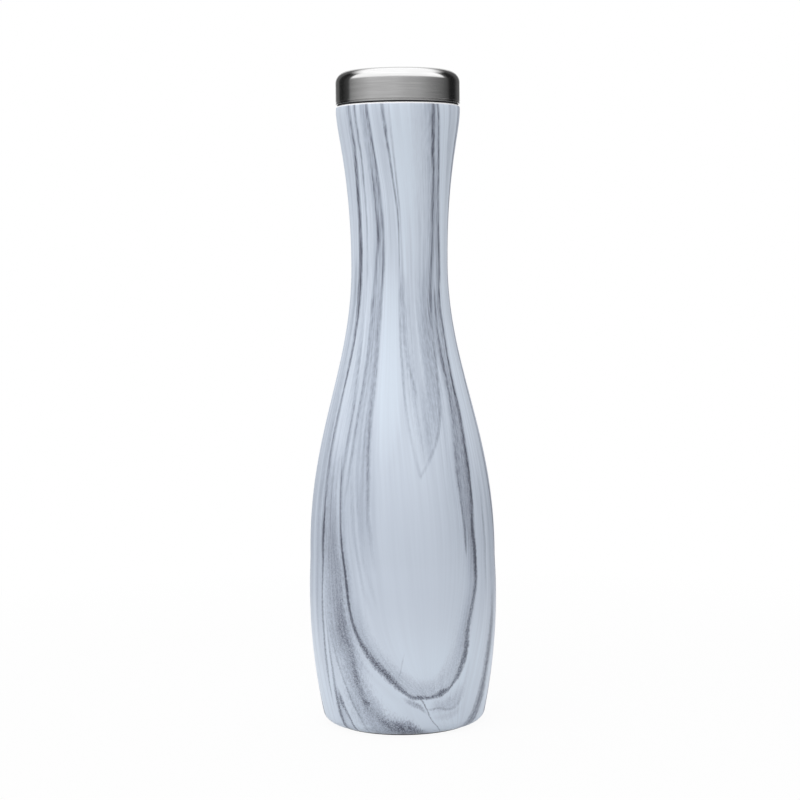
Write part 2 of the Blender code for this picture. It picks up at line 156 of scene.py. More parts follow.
SEAT_Z = UNDERSIDE_Z + FOOT_SEAT_DEPTH
FLANGE_TOP_Z = SEAT_Z + SHELL_WALL
COVER_Z = UNDERSIDE_Z + COVER_RECESS
FLAT_RADIUS = BASE_RADIUS - BASE_CORNER
FOOT_RADIUS = FLAT_RADIUS - FOOT_MARGIN
FOOT_BORE = FOOT_RADIUS - FOOT_WIDTH
OPENING_RADIUS = FOOT_BORE - FLANGE_MARGIN
WELD_RADIUS = LIP_RADIUS - LIP_CORNER - LIP_FLAT
LINER_DEPTH = SHELL_WALL + VACUUM_GAP
BORE_DEPTH = LINER_DEPTH + LINER_WALL
PLUG_ROOT = MOUTH_BORE - THREAD_HEIGHT - THREAD_CLEARANCE
CAP_RADIUS = LIP_RADIUS + CAP_OVERHANG
CAP_BORE = CAP_RADIUS - CAP_SHEET
PLUG_RIM_RADIUS = CAP_BORE - CONTACT_GAP
PLUG_BORE = PLUG_ROOT - PLUG_WALL
PLUG_RIM_BORE = PLUG_RIM_RADIUS - PLUG_WALL

# Coating's colours as seen on screen, by how much of it the veins and the grain cover
COATING_TONES = [
    (0.0, (217, 228, 241)), (0.10, (205, 214, 227)), (0.28, (182, 191, 205)), (0.52, (152, 159, 173)),
    (0.78, (116, 121, 134)), (1.0, (86, 90, 102)),
]
# Colour of the painted highlight along the lip's rounded edge
LIP_HIGHLIGHT_TONE = (253, 253, 255)

# Soft edges of a vein's line and band, in half widths of the line
LINE_EDGE = (0.15, 2.0)
BAND_EDGE = (-1.8, 0.8)

# A vein is drawn up to so many degrees from its nearest point, and fades over the last of them
VEIN_SIGHT = 90
VEIN_SIGHT_FADE = 30

# Stretches of height in mm over which the marble and the painted shade over the belly change
DRAWN_OUT_RISE = (60, 160)
NECK_GRAIN_FADE = (150, 230)
BASE_GRAIN_RISE = (40, 110)
BELLY_PAINTED_SHADE_RISE = (25, 70)
BELLY_PAINTED_SHADE_FADE = (90, 160)

# How dark the painted shade over the belly is, and how much of the grain shows in the blank patches
BELLY_PAINTED_SHADE = 0.12
BLANK_GRAIN = 0.22

# Lines of the brushing, as scales of a noise along them and across them
BRUSH_ALONG = 60.0
BRUSH_ACROSS = 5200.0

# Camera, with its place and aim in metres, its sensor and lens in mm and its roll in radians
CAMERA_PLACE = Vector((0.0, -0.905, 0.2198))
CAMERA_AIM = Vector((0.0, 0.0, 0.152))
CAMERA_SENSOR = 36.0
CAMERA_LENS = 86.86
CAMERA_ROLL = -0.0107
CAMERA_SHIFT = -0.00115

# Floor near the carafe and far from it: how much light it throws back, and how much it glows near it
FLOOR_SIZE = 1.5
FLOOR_NEAR = 0.10
FLOOR_FAR = 0.45
FLOOR_BOUNCE = (0.66, 0.42)
FLOOR_GLOW = 0.94
WHITE = (1.0, 1.0, 1.0, 1.0)

# Softbox, in metres and watts
LAMP_PLACE = Vector((-0.35, -0.80, 1.35))
LAMP_SIZE = 1.4
LAMP_WATTS = 13.5

# Light that falls on things: from above and below the horizon, and from the backdrop behind the carafe
AMBIENT = 0.57
AMBIENT_BELOW = 0.58
HORIZON = 0.1
BACKDROP = 1.2
BACKDROP_EDGE = (-0.45, 0.25)

# Lamp bank seen in reflections, with its lower edge all round and in front as the Z of a direction
BANK_LIGHT = 2.3
BANK_EDGE = (0.60, 0.84)
BANK_FRONT_EDGE = (0.32, 0.53)
BANK_ENDS = (math.radians(97), math.radians(101))

# Flags seen in reflections below the lamp bank: (azimuth in degrees, brightness)
FLAGS = [
    (-180, 1.0), (-168, 1.0), (-160, 0.20), (-139, 0.17), (-136, 0.04), (-123, 0.02), (-102, 0.10),
    (-98, 0.42), (-79, 0.67), (-50, 1.0), (-5, 1.0), (16, 0.83), (39, 0.73), (63, 0.46), (91, 0.23),
    (106, 0.12), (112, 0.02), (130, 0.02), (136, 0.08), (146, 0.15), (160, 0.15), (168, 1.0), (180, 1.0),
]


class Vein(NamedTuple):
    """One vein of the marble: the side of its band, how many mm the band's shade reaches, and its points.

    The band lies to the left (1) or right (-1) of someone who walks along the points. Each point is a height
    in mm, an azimuth, the line's width in mm, and how dark the line and the band are in percent. A point that
    leaves out its last numbers has those of the point before it.
    """

    band: int
    reach: float
    points: list


VEINS = [
    # Left edge
    Vein(-1, 2.5, [
        (289, -51, 1.6, 58, 28), (280, -49.6, 1.5, 66), (271, -48.6, 1.5, 70, 25), (260, -49.8, 1.9, 64),
        (248, -51, 2.1, 66, 20), (236, -51.6, 2.1, 72, 15), (224, -52.2, 2.2, 80), (212, -53.3, 2.5, 88),
        (203, -54, 2.7, 92), (196, -54.3, 2.4), (189, -54.5, 1.9, 76), (180, -55, 1.6, 70),
        (170, -56.2, 1.3, 74), (160, -57, 1.2, 70, 20), (148, -57.9, 1.5, 60), (130, -58.3, 1.7, 52),
        (116, -57.6, 1.4, 46), (103, -57.2, 1.1, 60), (96, -57.3, 1.5, 88), (88, -57.3, 1.5, 84),
        (79, -57.3, 1.3, 68), (70, -57.6, 1.1, 48), (58, -57.8, 1.3, 55), (46, -57.3, 1.4, 60, 15),
        (34, -57.2, 1.4, 55), (24, -56.8, 1.2, 45, 10), (16, -56, 0.9, 25, 0), (8, -55.2, 0.6, 0),
    ]),
    Vein(-1, 1.5, [
        (289, -43.6, 1.1, 46, 8), (272, -41.4), (256, -40.7, 1, 36, 5), (244, -40.3, 0.9, 26, 0),
        (226, -40.3, 1, 24), (208, -41, 1, 20), (190, -41.5, 0.8, 0),
    ]),
    # Between the left edge and the V
    Vein(-1, 4.5, [
        (289, -29.5, 1.2, 36, 34), (280, -28, 1.2, 40), (271, -26, 1.1, 42, 32), (262, -24.2, 1.1, 45, 30),
        (252, -22.3, 1.1, 42), (244, -20.6, 1.1, 42, 26), (236, -19.2, 1.1, 42, 22),
        (226, -18.6, 1.1, 40, 25), (216, -19.2, 1.2, 36, 30), (206, -20.5, 1.3, 34), (196, -21.9, 1.4, 30),
        (180, -22.8, 1.4, 26, 28), (160, -23, 1.3, 26, 26), (144, -23.2, 1.8, 24), (128, -22.9, 2, 24, 24),
        (114, -22, 1.7, 24, 20), (103, -21.4, 1.5, 20, 16), (94, -19.9, 1.6, 13, 10),
        (85, -18.4, 1.4, 6, 5), (76, -16.5, 1.2, 0, 0),
    ]),
    Vein(1, 2.5, [
        (272, -31.5, 0.8, 0, 0), (262, -29.3, 0.9, 16, 5), (252, -27.8, 1, 32, 10),
        (244, -26.6, 1.1, 38, 15), (237, -25.4, 1.4, 46, 20), (232, -24.5, 1.5, 56), (227, -24.3, 1.5, 62),
        (224, -25, 1.4, 36), (218, -27.6, 1.1, 20), (209, -30, 1.1, 16, 15), (200, -32.3, 1.3, 18),
        (188, -33.3, 1.3, 20), (172, -33.5), (158, -34.2, 1.3, 22), (142, -35.5, 1.3, 24),
        (128, -36.5, 1.3, 20, 10), (114, -37.8, 1.2, 10, 5), (104, -38.6, 1, 0, 0),
    ]),
    Vein(-1, 3, [
        (200, -43, 1, 0, 5), (184, -43, 1.1, 14, 10), (170, -42, 1.4, 18, 15), (158, -41.2, 1.5, 20),
        (144, -40.6, 1.6, 22), (132, -41, 1.4, 20), (122, -41.8, 1.2, 12, 10), (114, -42.4, 0.8, 0, 0),
    ]),
    # The V: its left arm, the shade inside it and its right arm
    Vein(-1, 2, [
        (289, -15, 1.6, 36, 10), (283, -13.6, 1.5, 44), (277, -12, 1.3, 52), (271, -10.8, 1.1),
        (264, -8.8, 1, 46), (257, -6.8, 0.9, 44), (250, -4.6, 0.8, 38), (244, -2.8, 0.7, 36),
        (239, -1.4, 0.7, 42), (232, -0.6, 0.6, 36), (218, -0.1, 0.6, 30, 5), (205, 0, 0.9, 24, 0),
        (190, 0.1, 1, 20), (176, 0.8), (165, 2), (154, 3.3, 1.1, 18), (147, 4.4, 1.3, 15),
        (140, 5.9, 1.5, 12), (133, 8.1, 1.5, 10), (127, 10, 1.4, 11), (123, 11.4, 1.3, 15),
        (120.5, 12.3, 1.2, 16), (118.5, 12.8, 0.8, 0),
    ]),
    Vein(1, 1, [
        (289, -8.5, 0.8, 10, 0), (275, -6.5, 0.8, 18), (262, -3.8, 0.8, 20), (252, -1.8, 0.8, 24),
        (244, 0, 0.7, 22), (236, 1.2, 0.7, 12), (224, 2.2, 0.8), (212, 3.2, 0.9, 18), (204, 3.3, 1, 22),
        (196, 3, 1.1, 20), (188, 3.6, 1.2, 18), (180, 4.8), (172, 6.7, 1.1, 16), (165, 9.2, 1, 14),
        (158, 12.3, 0.9), (154, 13.5, 0.7, 0),
    ]),
    Vein(1, 1, [
        (215, 4, 3, 0, 0), (200, 5, 3.5, 14), (185, 5.5, 4, 18), (172, 7, 4.5, 16), (160, 9, 4.5, 14),
        (148, 11, 4, 12), (138, 13, 3.5, 10), (124, 14, 2, 0),
    ]),
    Vein(1, 1, [
        (215, 31, 5, 0, 0), (200, 30, 6, 10), (182, 28.5, 7, 12), (166, 27.5, 7, 13), (152, 25.5, 7, 15),
        (141, 22, 6, 12), (132, 18, 4, 8), (123, 14, 2, 0),
    ]),
    Vein(-1, 4, [
        (289, 34, 1.6, 48, 25), (281, 34.6, 1.6, 54), (275, 35.6, 1.5, 62, 20), (270, 36.6, 1.4, 60),
        (265, 37.8, 1.3, 58), (260, 39.4, 1.2, 52, 15), (254, 40.6, 1.2, 46, 10), (246, 41.6, 1.4, 40),
        (236, 42.3, 1.5, 36, 12), (226, 42.5, 1.4, 36, 15), (218, 41.6, 1.3, 38, 20), (211, 39.6, 1.3, 40),
        (204, 37.8, 1.4), (198, 36.2, 1.6), (193, 35.5, 1.4, 36), (187, 35.4, 1.2, 30, 18),
        (178, 35.9, 1.1, 20, 16), (168, 34.9, 1.1, 18), (157, 33.1), (149, 31.8, 1.1, 20, 14),
        (142, 29.5, 1.1, 20, 12), (136, 26, 1.2, 18, 8), (131, 22.2, 1.3, 16, 5), (127.5, 19.2, 1.3, 14, 0),
        (124, 16.2, 1.2, 12), (121, 13.2, 1.1, 15), (119, 11.4, 0.7, 0),
    ]),
    # Right of the V
    Vein(-1, 5, [
        (289, 38.4, 1.2, 45, 32), (281, 40.6, 1.1, 50, 28), (274, 42.4, 1.1, 52, 25), (268, 44.3, 1.1, 56),
        (262, 46.4, 1.1, 56, 30), (256, 48.2, 1.1, 56, 32), (249, 49.8, 1.1, 56, 36),
        (241, 51.6, 1.1, 56, 38), (233, 52.9, 1.1, 60, 40), (224, 54, 1.2, 62), (216, 54.3, 1.3, 58),
        (209, 53.6, 1.3, 54), (202, 51.8, 1.2, 52), (195, 51.2, 1.2, 54), (188, 52, 1.2, 50),
        (181, 52.4, 1.2, 42, 36), (170, 51.7), (160, 51.6, 1.2, 46, 40), (150, 52, 1.2, 45, 42),
        (140, 51.8, 1.3, 46, 45), (130, 51, 1.3, 50, 48), (120, 50, 1.4, 56, 50), (110, 49.6, 1.4, 58, 46),
        (101, 48.6, 1.6, 62, 38), (94, 48.4, 1.6, 60, 34), (87, 49.2, 1.5, 40, 25), (78, 49.8, 1.4, 20, 15),
        (68, 48.8, 1.2, 0, 5), (58, 46, 1, 0, 0),
    ]),
    # The U, which runs round the lower half from right to left
    Vein(-1, 3, [
        (101, 48.6, 1.2, 0, 0), (94, 48.5, 1.5, 45, 10), (87, 49.2, 1.6, 68, 15), (80, 49.7, 1.6, 70, 20),
        (72, 49.6, 1.6, 64), (66, 48.2, 1.6, 58), (60, 46, 1.6, 56), (54, 44, 1.8, 58, 22),
        (48, 42.2, 2, 62, 24), (42, 41.6, 2.2, 66, 26), (37, 40.5, 2.2, 66, 28), (32, 38.3, 2.1, 62, 30),
        (28, 36.2, 1.8, 60), (25.3, 33.6, 1.2), (24, 31.8, 0.9, 64), (22.2, 29.6, 1.2, 60),
        (21.4, 26.6, 2.1, 70), (20, 23.6, 2.2, 66), (19.4, 20.5, 1.5, 58, 32), (18.7, 16, 1.2, 60, 34),
        (19.3, 11.5, 1.4, 62, 32), (19.2, 8.5, 1.5, 66, 30), (19.3, 5.6, 1.3, 72, 28),
        (20.6, 2.6, 1.2, 68, 26), (23, -1.5, 1.7), (25.5, -5, 2.3, 72, 28), (28.3, -9, 2.8, 74, 30),
        (31.5, -13, 2.9), (34.5, -17.2, 2.8, 74, 28), (37.5, -20.4, 2.4, 72, 26), (41.5, -24, 2, 72, 24),
        (46, -27.5, 1.7, 72, 20), (50, -30, 1.5, 72, 15), (55, -32.2, 1.2, 74, 8), (61, -34, 1.1, 74, 6),
        (68, -35.4, 1.1, 72), (75, -36.8, 1, 70), (82, -38.4, 1, 68), (88, -39.6), (93, -40.4, 1, 62),
        (100, -41.2, 0.9, 42), (108, -41.9, 0.9, 40, 8), (115, -42.7, 0.9, 38), (121, -43.6, 0.8, 34),
        (128, -45, 0.7, 12, 0), (135, -46.5, 0.6, 0),
    ]),
    # Right side and far left
    Vein(1, 4.5, [
        (206, 44.5, 1, 0, 0), (197, 43.2, 1.1, 25, 10), (188, 42.5, 1.1, 30), (180, 42.2, 1.2, 34, 12),
        (173, 42.6, 1.4, 44), (168, 43), (160, 43.6, 1.2, 34, 15), (152, 43.4, 1.2, 34, 18),
        (144, 41.8, 1.1, 34, 20), (136, 40.4, 1, 32, 22), (128, 39.4, 1, 38, 30), (122, 38.8, 1, 42),
        (115, 38.9, 1, 34, 28), (107, 39.7, 0.9, 28, 22), (100, 40.6, 0.9, 32, 15), (94, 41.3, 1, 46, 10),
        (88, 41.6, 1, 50, 5), (82, 42, 0.7, 0, 0),
    ]),
    Vein(1, 3, [
        (289, 54, 1, 0, 15), (274, 57, 1, 0, 18), (262, 60.5, 1, 0, 15), (250, 64, 1, 0, 5),
        (240, 66, 1, 0, 0),
    ]),
    Vein(-1, 2, [
        (130, 60, 1.2, 0, 0), (112, 61, 1.4, 12, 5), (96, 61, 1.4, 20), (82, 61.5, 1.4, 22),
        (68, 61, 1.2, 14, 0), (54, 60, 1, 0),
    ]),
    Vein(1, 3, [
        (220, -63, 1.5, 0, 0), (208, -64, 1.6, 20, 8), (190, -64.5, 2, 12, 5), (150, -64, 2.5, 14),
        (110, -64, 2.5, 18), (80, -64, 2.5, 14, 0), (50, -65, 2, 10), (25, -66, 1.5, 0),
    ]),
    # Faint lines inside the U's left arm
    Vein(1, 1, [
        (124, -33.5, 2, 0, 0), (108, -32.5, 2, 9), (92, -30, 1.8), (78, -26.5, 1.6, 8), (66, -22.5, 1.6, 6),
        (56, -18, 1.6, 0),
    ]),
    Vein(1, 1, [
        (122, -28.5, 2, 0, 0), (106, -27.5, 2, 10), (92, -25.5, 1.8, 9), (80, -23, 1.6, 8),
        (70, -19.5, 1.4, 6), (58, -14, 1.4, 0),
    ]),
    # Crack under the U's lowest point, and the shade beside it
    Vein(1, 1, [
        (20.6, 8, 0.7, 0, 0), (19.2, 9.8, 0.7, 52), (17.2, 12.2, 0.6, 50), (14.6, 14, 0.5, 46),
        (12.2, 15.8), (10.4, 16.6, 0.45, 42), (8.6, 18, 0.4, 40), (6.4, 20.6, 0.4, 36),
        (3.6, 24.4, 0.4, 34), (0, 28.5, 0.35), (-2, 31, 0.35, 30),
    ]),
    Vein(1, 1, [
        (19.5, -1, 1.2, 0, 0), (17.6, 3, 1.8, 30), (16, 7, 2, 42), (14.6, 10.5, 1.6, 40),
        (12.5, 13.5, 1, 20), (11, 15, 0.8, 0),
    ]),
    Vein(1, 1, [
        (13.5, 15.4, 0.7, 0, 0), (13.1, 18, 0.8, 26), (13.5, 23.5, 0.9, 24), (12.6, 28, 1, 22),
        (12.4, 33, 1.3, 18), (13.8, 37, 1.6, 14), (17.5, 40.5, 2, 12), (23, 42.5, 2, 10),
        (30, 44.5, 1.6, 6), (36, 46, 1, 0),
    ]),
    Vein(1, 1, [
        (15, 17, 3.5, 0, 0), (14.6, 22, 4.5, 14), (14.6, 28, 5, 17), (16, 33, 5, 16), (19, 37, 4, 12),
        (25, 40, 3, 0),
    ]),
    Vein(1, 1, [
        (9.5, 19, 1.6, 0, 0), (9, 25, 2.2, 10), (9, 31, 2.6), (10.4, 37, 2.6, 8), (14, 42, 2, 0),
    ]),
    # Hairline inside the U
    Vein(1, 1, [
        (41, 0.6, 0.5, 0, 0), (36.4, -0.8, 0.5, 10), (31, -2, 0.5, 12), (28.5, -4, 0.7, 8),
        (25, -5.5, 0.5, 0),
    ]),
    # Lower left: thin lines, then the broad band under the U and its dark heart
    Vein(1, 2.5, [
        (58, -54.5, 0.8, 0, 0), (46, -53, 0.9, 30, 10), (38, -52, 1.1, 46, 15), (30, -51, 1.3, 50),
        (23, -50.9, 1.5, 52), (16, -50.4, 1.8, 60, 20), (11, -49.4, 1.8, 56), (6, -47.4, 1.6, 50),
        (0, -44, 1.4, 45, 15), (-3, -42, 1.2, 30, 10),
    ]),
    Vein(-1, 1.5, [
        (22, -48, 0.7, 0, 0), (19, -46.8, 1.2, 40, 10), (16.6, -46, 1.8, 72, 15),
        (13.6, -44.8, 1.8, 60, 25), (10.8, -42.8, 1.3, 50), (7.6, -40.2, 1, 52, 20),
        (4, -37.6, 0.9, 52, 15), (0, -34.8, 0.8, 45, 10), (-3, -33, 0.8, 30, 0),
    ]),
    Vein(1, 2, [
        (52, -51.5, 0.8, 0, 0), (44, -49, 0.9, 22, 8), (36, -46, 1, 26, 10), (29, -43.2), (23, -40, 1, 28),
        (17, -37, 1, 26), (12, -33.5, 0.9, 25), (7, -30, 0.9, 22), (2, -26.5, 0.8, 20, 0),
        (-2, -24, 0.8, 10),
    ]),
    Vein(1, 1, [
        (136, -50, 5, 0, 0), (120, -50, 8, 18), (105, -49.5, 9.5, 24), (95, -48.5, 11, 28),
        (85, -48, 12, 30), (75, -47, 12, 33), (65, -45.5, 11.5, 35), (57, -43.5, 11, 36),
        (50, -41.5, 10.5, 38), (43, -39, 10, 37), (36, -36, 10, 35), (28, -33, 10, 32), (20, -30, 10.5, 29),
        (12, -25, 10.5, 27), (7, -17, 9.5), (5, -9, 8.5, 36), (4, -1, 7.5, 44), (2.5, 7, 5, 40),
        (1.5, 14, 3, 20), (1, 20, 2, 0),
    ]),
    Vein(1, 1, [
        (70, -41.5, 2.4, 0, 0), (62, -40.5, 3, 20), (54, -40, 3.4, 32), (47, -38.5, 3, 34),
        (41, -34.5, 2.6), (34, -32.3, 2.4, 36), (27, -31.2, 2.2, 38), (22, -29, 2.2, 32),
        (16, -26, 2.4, 20), (10.5, -20, 2.8, 16), (7, -12, 3.2, 34), (5, -4, 4.6, 70), (3.8, 2, 5, 78),
        (2.4, 8, 3.6, 60), (1.2, 14, 2.2, 30), (0.2, 20, 1.5, 0),
    ]),
    # Dust inside the U, and a knot at the lower left
    Vein(1, 1, [
        (66, -29, 5, 0, 0), (54, -27, 5.5, 11), (44, -21.5, 5.5, 13), (35, -12.5), (28, -2, 5, 12),
        (24.5, 8, 4.5, 11), (24.5, 18), (29, 27, 5, 12), (41, 35.5, 5.5), (56, 40, 5, 8), (68, 43, 4, 0),
    ]),
    Vein(1, 1, [
        (18, -27, 0.8, 0, 0), (16.8, -25.6, 1.3, 50), (16, -24.4, 1.7, 75), (15.4, -23, 0.8, 0),
    ]),
    # Lower right
    Vein(-1, 4, [
        (68, 72, 3.5, 0, 0), (54, 70.5, 4, 25, 5), (42, 69, 5, 38, 10), (32, 66.5, 5, 45),
        (22, 64.5, 5, 50), (15, 62.5, 5, 55), (9, 58.5, 4.6, 52), (5, 54, 4, 50), (2, 48, 3, 40, 5),
        (0, 42, 2, 20, 0), (-1, 37, 1.5, 0),
    ]),
    # Sides and back
    Vein(1, 3.5, [
        (289, 74, 1.2, 40, 25), (262, 77, 1.4, 52, 28), (232, 81, 1.3, 55), (205, 82, 1.3, 60, 30),
        (170, 79, 1.1, 52), (135, 77, 1.1, 45, 32), (100, 79, 1.2, 60, 30), (66, 84, 1.3, 62, 25),
        (38, 86, 1.8), (14, 82, 2.4, 60), (-3, 76, 2.4, 50, 20),
    ]),
    Vein(-1, 3.5, [
        (289, 96, 1.5, 55, 30), (258, 99, 1.4, 60), (225, 104, 1.8, 82, 25), (198, 106, 1.7, 72, 28),
        (160, 103, 1.2, 50, 30), (120, 100, 1.1, 42), (84, 101, 1.2, 60, 28), (48, 106, 1.7, 70, 25),
        (18, 114, 2.6, 72), (-3, 124, 3.2, 70, 20),
    ]),
    Vein(-1, 3.5, [
        (289, 128, 1.1, 40, 22), (250, 124, 1.1, 48, 25), (215, 122, 1, 42, 28), (180, 124, 1, 40, 30),
        (150, 130, 1, 48, 32), (118, 139, 1.1, 55, 30), (92, 151, 1.2, 62, 22), (76, 164, 1.6, 70, 20),
        (70, 177, 1.9, 74), (77, 190, 1.6, 66), (95, 202, 1.3, 60), (122, 211, 1.1, 50, 25),
        (156, 217, 1, 44, 28), (196, 219, 1, 42), (240, 217, 1.1, 50, 25), (289, 212, 1.1, 45),
    ]),
    Vein(1, 3, [
        (289, 151, 1.2, 45, 25), (255, 149, 1.1, 40), (218, 150, 1, 35), (182, 156, 0.9, 30, 22),
        (155, 164, 0.9, 34, 20), (137, 174, 0.8, 36, 15), (131, 182, 0.8, 30, 5), (129, 186, 0.7, 0, 0),
    ]),
    Vein(-1, 3, [
        (289, 186, 1.1, 50, 25), (250, 189), (210, 191, 1, 40), (172, 190, 0.9, 32, 20),
        (148, 187, 0.8, 34, 12), (131, 183, 0.8, 26, 5), (127, 181, 0.7, 0, 0),
    ]),
    Vein(1, 3, [
        (70, 138, 1.1, 0, 5), (54, 146, 2, 42, 15), (42, 158, 3, 60, 20), (36, 172, 3.6, 66, 22),
        (36, 186, 3.2, 62, 20), (42, 200, 2.6, 58), (56, 213, 1.8, 56), (80, 224, 1.4),
        (112, 232, 1.2, 48, 22), (150, 237, 1.1, 44, 25), (190, 239, 1.1, 50), (235, 237, 1.2, 58),
        (289, 233, 1.2, 45),
    ]),
    Vein(-1, 3.5, [
        (289, 256, 1.2, 40, 25), (258, 258, 1.3, 50, 28), (220, 262, 1.3, 52), (184, 262, 1.1, 46, 30),
        (145, 258, 1.1, 42), (105, 257, 1.2, 60, 28), (70, 262, 1.5, 66, 25), (40, 268, 2),
        (15, 276, 2.8, 66, 22), (-3, 286, 3, 60, 20),
    ]),
    Vein(-1, 3.5, [
        (30, 118, 1.4, 0, 0), (18, 130, 2.6, 50, 20), (11, 146, 4, 66, 25), (8, 164, 4.6, 72),
        (8, 182, 4, 64, 22), (12, 200, 3.2, 56, 20), (22, 216, 2.2, 52), (40, 230, 1.6, 50),
        (66, 241, 1.2, 36, 18), (92, 247, 1, 0, 0),
    ]),
]

# The grain runs along these lines, each a straight azimuth and then its points of (mm, degrees)
GRAIN = [
    (-55, [
        (0, -52), (22, -56), (58, -58), (120, -58), (165, -58), (200, -55), (230, -52), (270, -49),
        (289, -51),
    ]),
    (-38, [
        (0, 26), (4, 23), (9, 17), (16, 12), (19, 5), (23, -1), (30, -13), (40, -23), (51, -31), (68, -35),
        (90, -40), (126, -44), (165, -40), (200, -40), (245, -40), (270, -41), (289, -43),
    ]),
    (-22, [
        (0, 30), (9, 23), (18, 15), (25, 8), (34, -2), (48, -10), (70, -15), (99, -20), (146, -23),
        (208, -21), (227, -19), (248, -20), (261, -24), (289, -30),
    ]),
    (0, [
        (0, 33), (15, 22), (25, 17), (40, 15), (100, 13), (128, 10), (154, 5), (180, 3), (227, 0),
        (259, -7), (289, -15),
    ]),
    (36, [
        (0, 36), (15, 27), (30, 27), (45, 32), (80, 40), (120, 39), (160, 43), (200, 38), (236, 42),
        (271, 36), (289, 34),
    ]),
    (50, [
        (0, 39), (15, 32), (28, 36), (40, 40), (53, 44), (75, 49), (116, 50), (165, 51), (212, 53),
        (254, 49), (289, 38),
    ]),
    (68, [(0, 45), (12, 57), (32, 64), (60, 70), (120, 70), (200, 69), (289, 62)]),
    (104, [(0, 122), (18, 114), (48, 106), (120, 100), (198, 106), (289, 96)]),
    (130, [(0, 150), (30, 158), (60, 152), (92, 148), (118, 139), (150, 130), (215, 122), (289, 128)]),
    (170, [(0, 178), (60, 176), (130, 176), (200, 170), (289, 168)]),
    (215, [(0, 214), (40, 204), (80, 196), (122, 211), (196, 219), (289, 212)]),
    (238, [(0, 232), (40, 228), (80, 228), (150, 237), (235, 237), (289, 233)]),
    (260, [(0, 284), (15, 276), (70, 262), (145, 258), (220, 262), (289, 256)]),
]

# Patches where the grain is faint: (height mm, azimuth degrees, half height mm, half width degrees)
BLANKS = [(72, 8, 80, 36), (262, 12, 28, 18), (165, -9, 52, 11), (105, 176, 34, 22), (240, 170, 40, 14)]


def arc(centre, radius, start, end, steps=CORNER_STEPS):
    """Points and outward normals of a circle between two directions, in the plane of radius and height."""
    angles = np.linspace(start, end, steps + 1)
    normals = np.stack([np.cos(angles), np.sin(angles)], 1)
    return np.array(centre) + radius * normals, normals


def rounded(radius, height, rounding, quarter, steps=EDGE_STEPS):
    """Points of a quarter circle about a centre: quarter 0 runs from straight down to straight outwards."""
    start = (quarter - 1) * math.pi / 2
    return arc((radius, height), rounding, start, start + math.pi / 2, steps)[0]


def climb(start, leave, arrive, end, steps):
    """Points and normals of a cubic curve that leaves and arrives along vectors, without its start."""
    t = (np.arange(1, steps + 1) / steps)[:, None]
    u = 1 - t
    first, second = start + leave, end - arrive
    points = u**3 * start + 3 * u * u * t * first + 3 * u * t * t * second + t**3 * end
    along = u * u * (first - start) + 2 * u * t * (second - first) + t * t * (end - second)
    normals = np.stack([along[:, 1], -along[:, 0]], 1)
    return points, normals / np.linalg.norm(normals, axis=1)[:, None]


def rise(low, high, lean=0.0):
    """A vector as long as the rise between two points, leaning outwards by an angle."""
    return (high[1] - low[1]) * np.array((math.sin(lean), math.cos(lean)))


def body_side():
    """The body's outer face, from the flat of the base round the corner, up the side and over the lip."""
    corner = arc((FLAT_RADIUS, UNDERSIDE_Z + BASE_CORNER), BASE_CORNER, -math.pi / 2, -BASE_LEAN)
    base = corner[0][-1]
    belly = np.array((BELLY_RADIUS, BELLY_Z))
    waist = np.array((WAIST_RADIUS, WAIST_Z))
    lip = np.array((LIP_RADIUS, LIP_Z - LIP_CORNER))
    lower = climb(base, BASE_HANDLE_SHARE * rise(base, belly, BASE_LEAN),
                  BELLY_LOWER_HANDLE_SHARE * rise(base, belly), belly, LOWER_STEPS)
    upper = climb(belly, BELLY_UPPER_HANDLE_SHARE * rise(belly, waist),
                  WAIST_LOWER_HANDLE_SHARE * rise(belly, waist), waist, UPPER_STEPS)
    neck = climb(waist, WAIST_UPPER_HANDLE_SHARE * rise(waist, lip),
                 LIP_HANDLE_SHARE * rise(waist, lip, LIP_LEAN), lip, NECK_STEPS)
    over = arc(lip - (LIP_CORNER, 0), LIP_CORNER, 0, math.pi / 2)
    stretches = [corner, lower, upper, neck, (over[0][1:], over[1][1:])]
    return tuple(np.concatenate(part) for part in zip(*stretches))


def sunk(side, depth):
    """The face that lies a given depth below a side, as points of radius and height."""
    points, normals = side
    return points - depth * normals


def thread_rows(radius, low):
    """The rows of an outline along which a thread's relief is drawn."""
    heights = np.linspace(low, low + THREAD_LENGTH, THREAD_ROWS + 1)
    return np.stack([np.full(THREAD_ROWS + 1, radius), heights], 1)


def thread_relief(phase, low):
    """A screw thread's relief above a height, from 0 at its root to 1 on the crest."""

    def relief(angle, height):
        across = (height - LIP_Z) / THREAD_PITCH - THREAD_STARTS * angle / math.tau + phase
        across -= np.round(across)
        crest = np.cos(math.pi * np.clip(across / THREAD_WIDTH_SHARE, -0.5, 0.5)) ** 2
        fade = np.minimum(height - low, low + THREAD_LENGTH - height) / THREAD_FADE
        return crest * np.clip(fade, 0, 1)

    return relief


def show(name, data):
    """A new object in the scene."""
    thing = bpy.data.objects.new(name, data)
    bpy.context.scene.collection.objects.link(thing)
    return thing


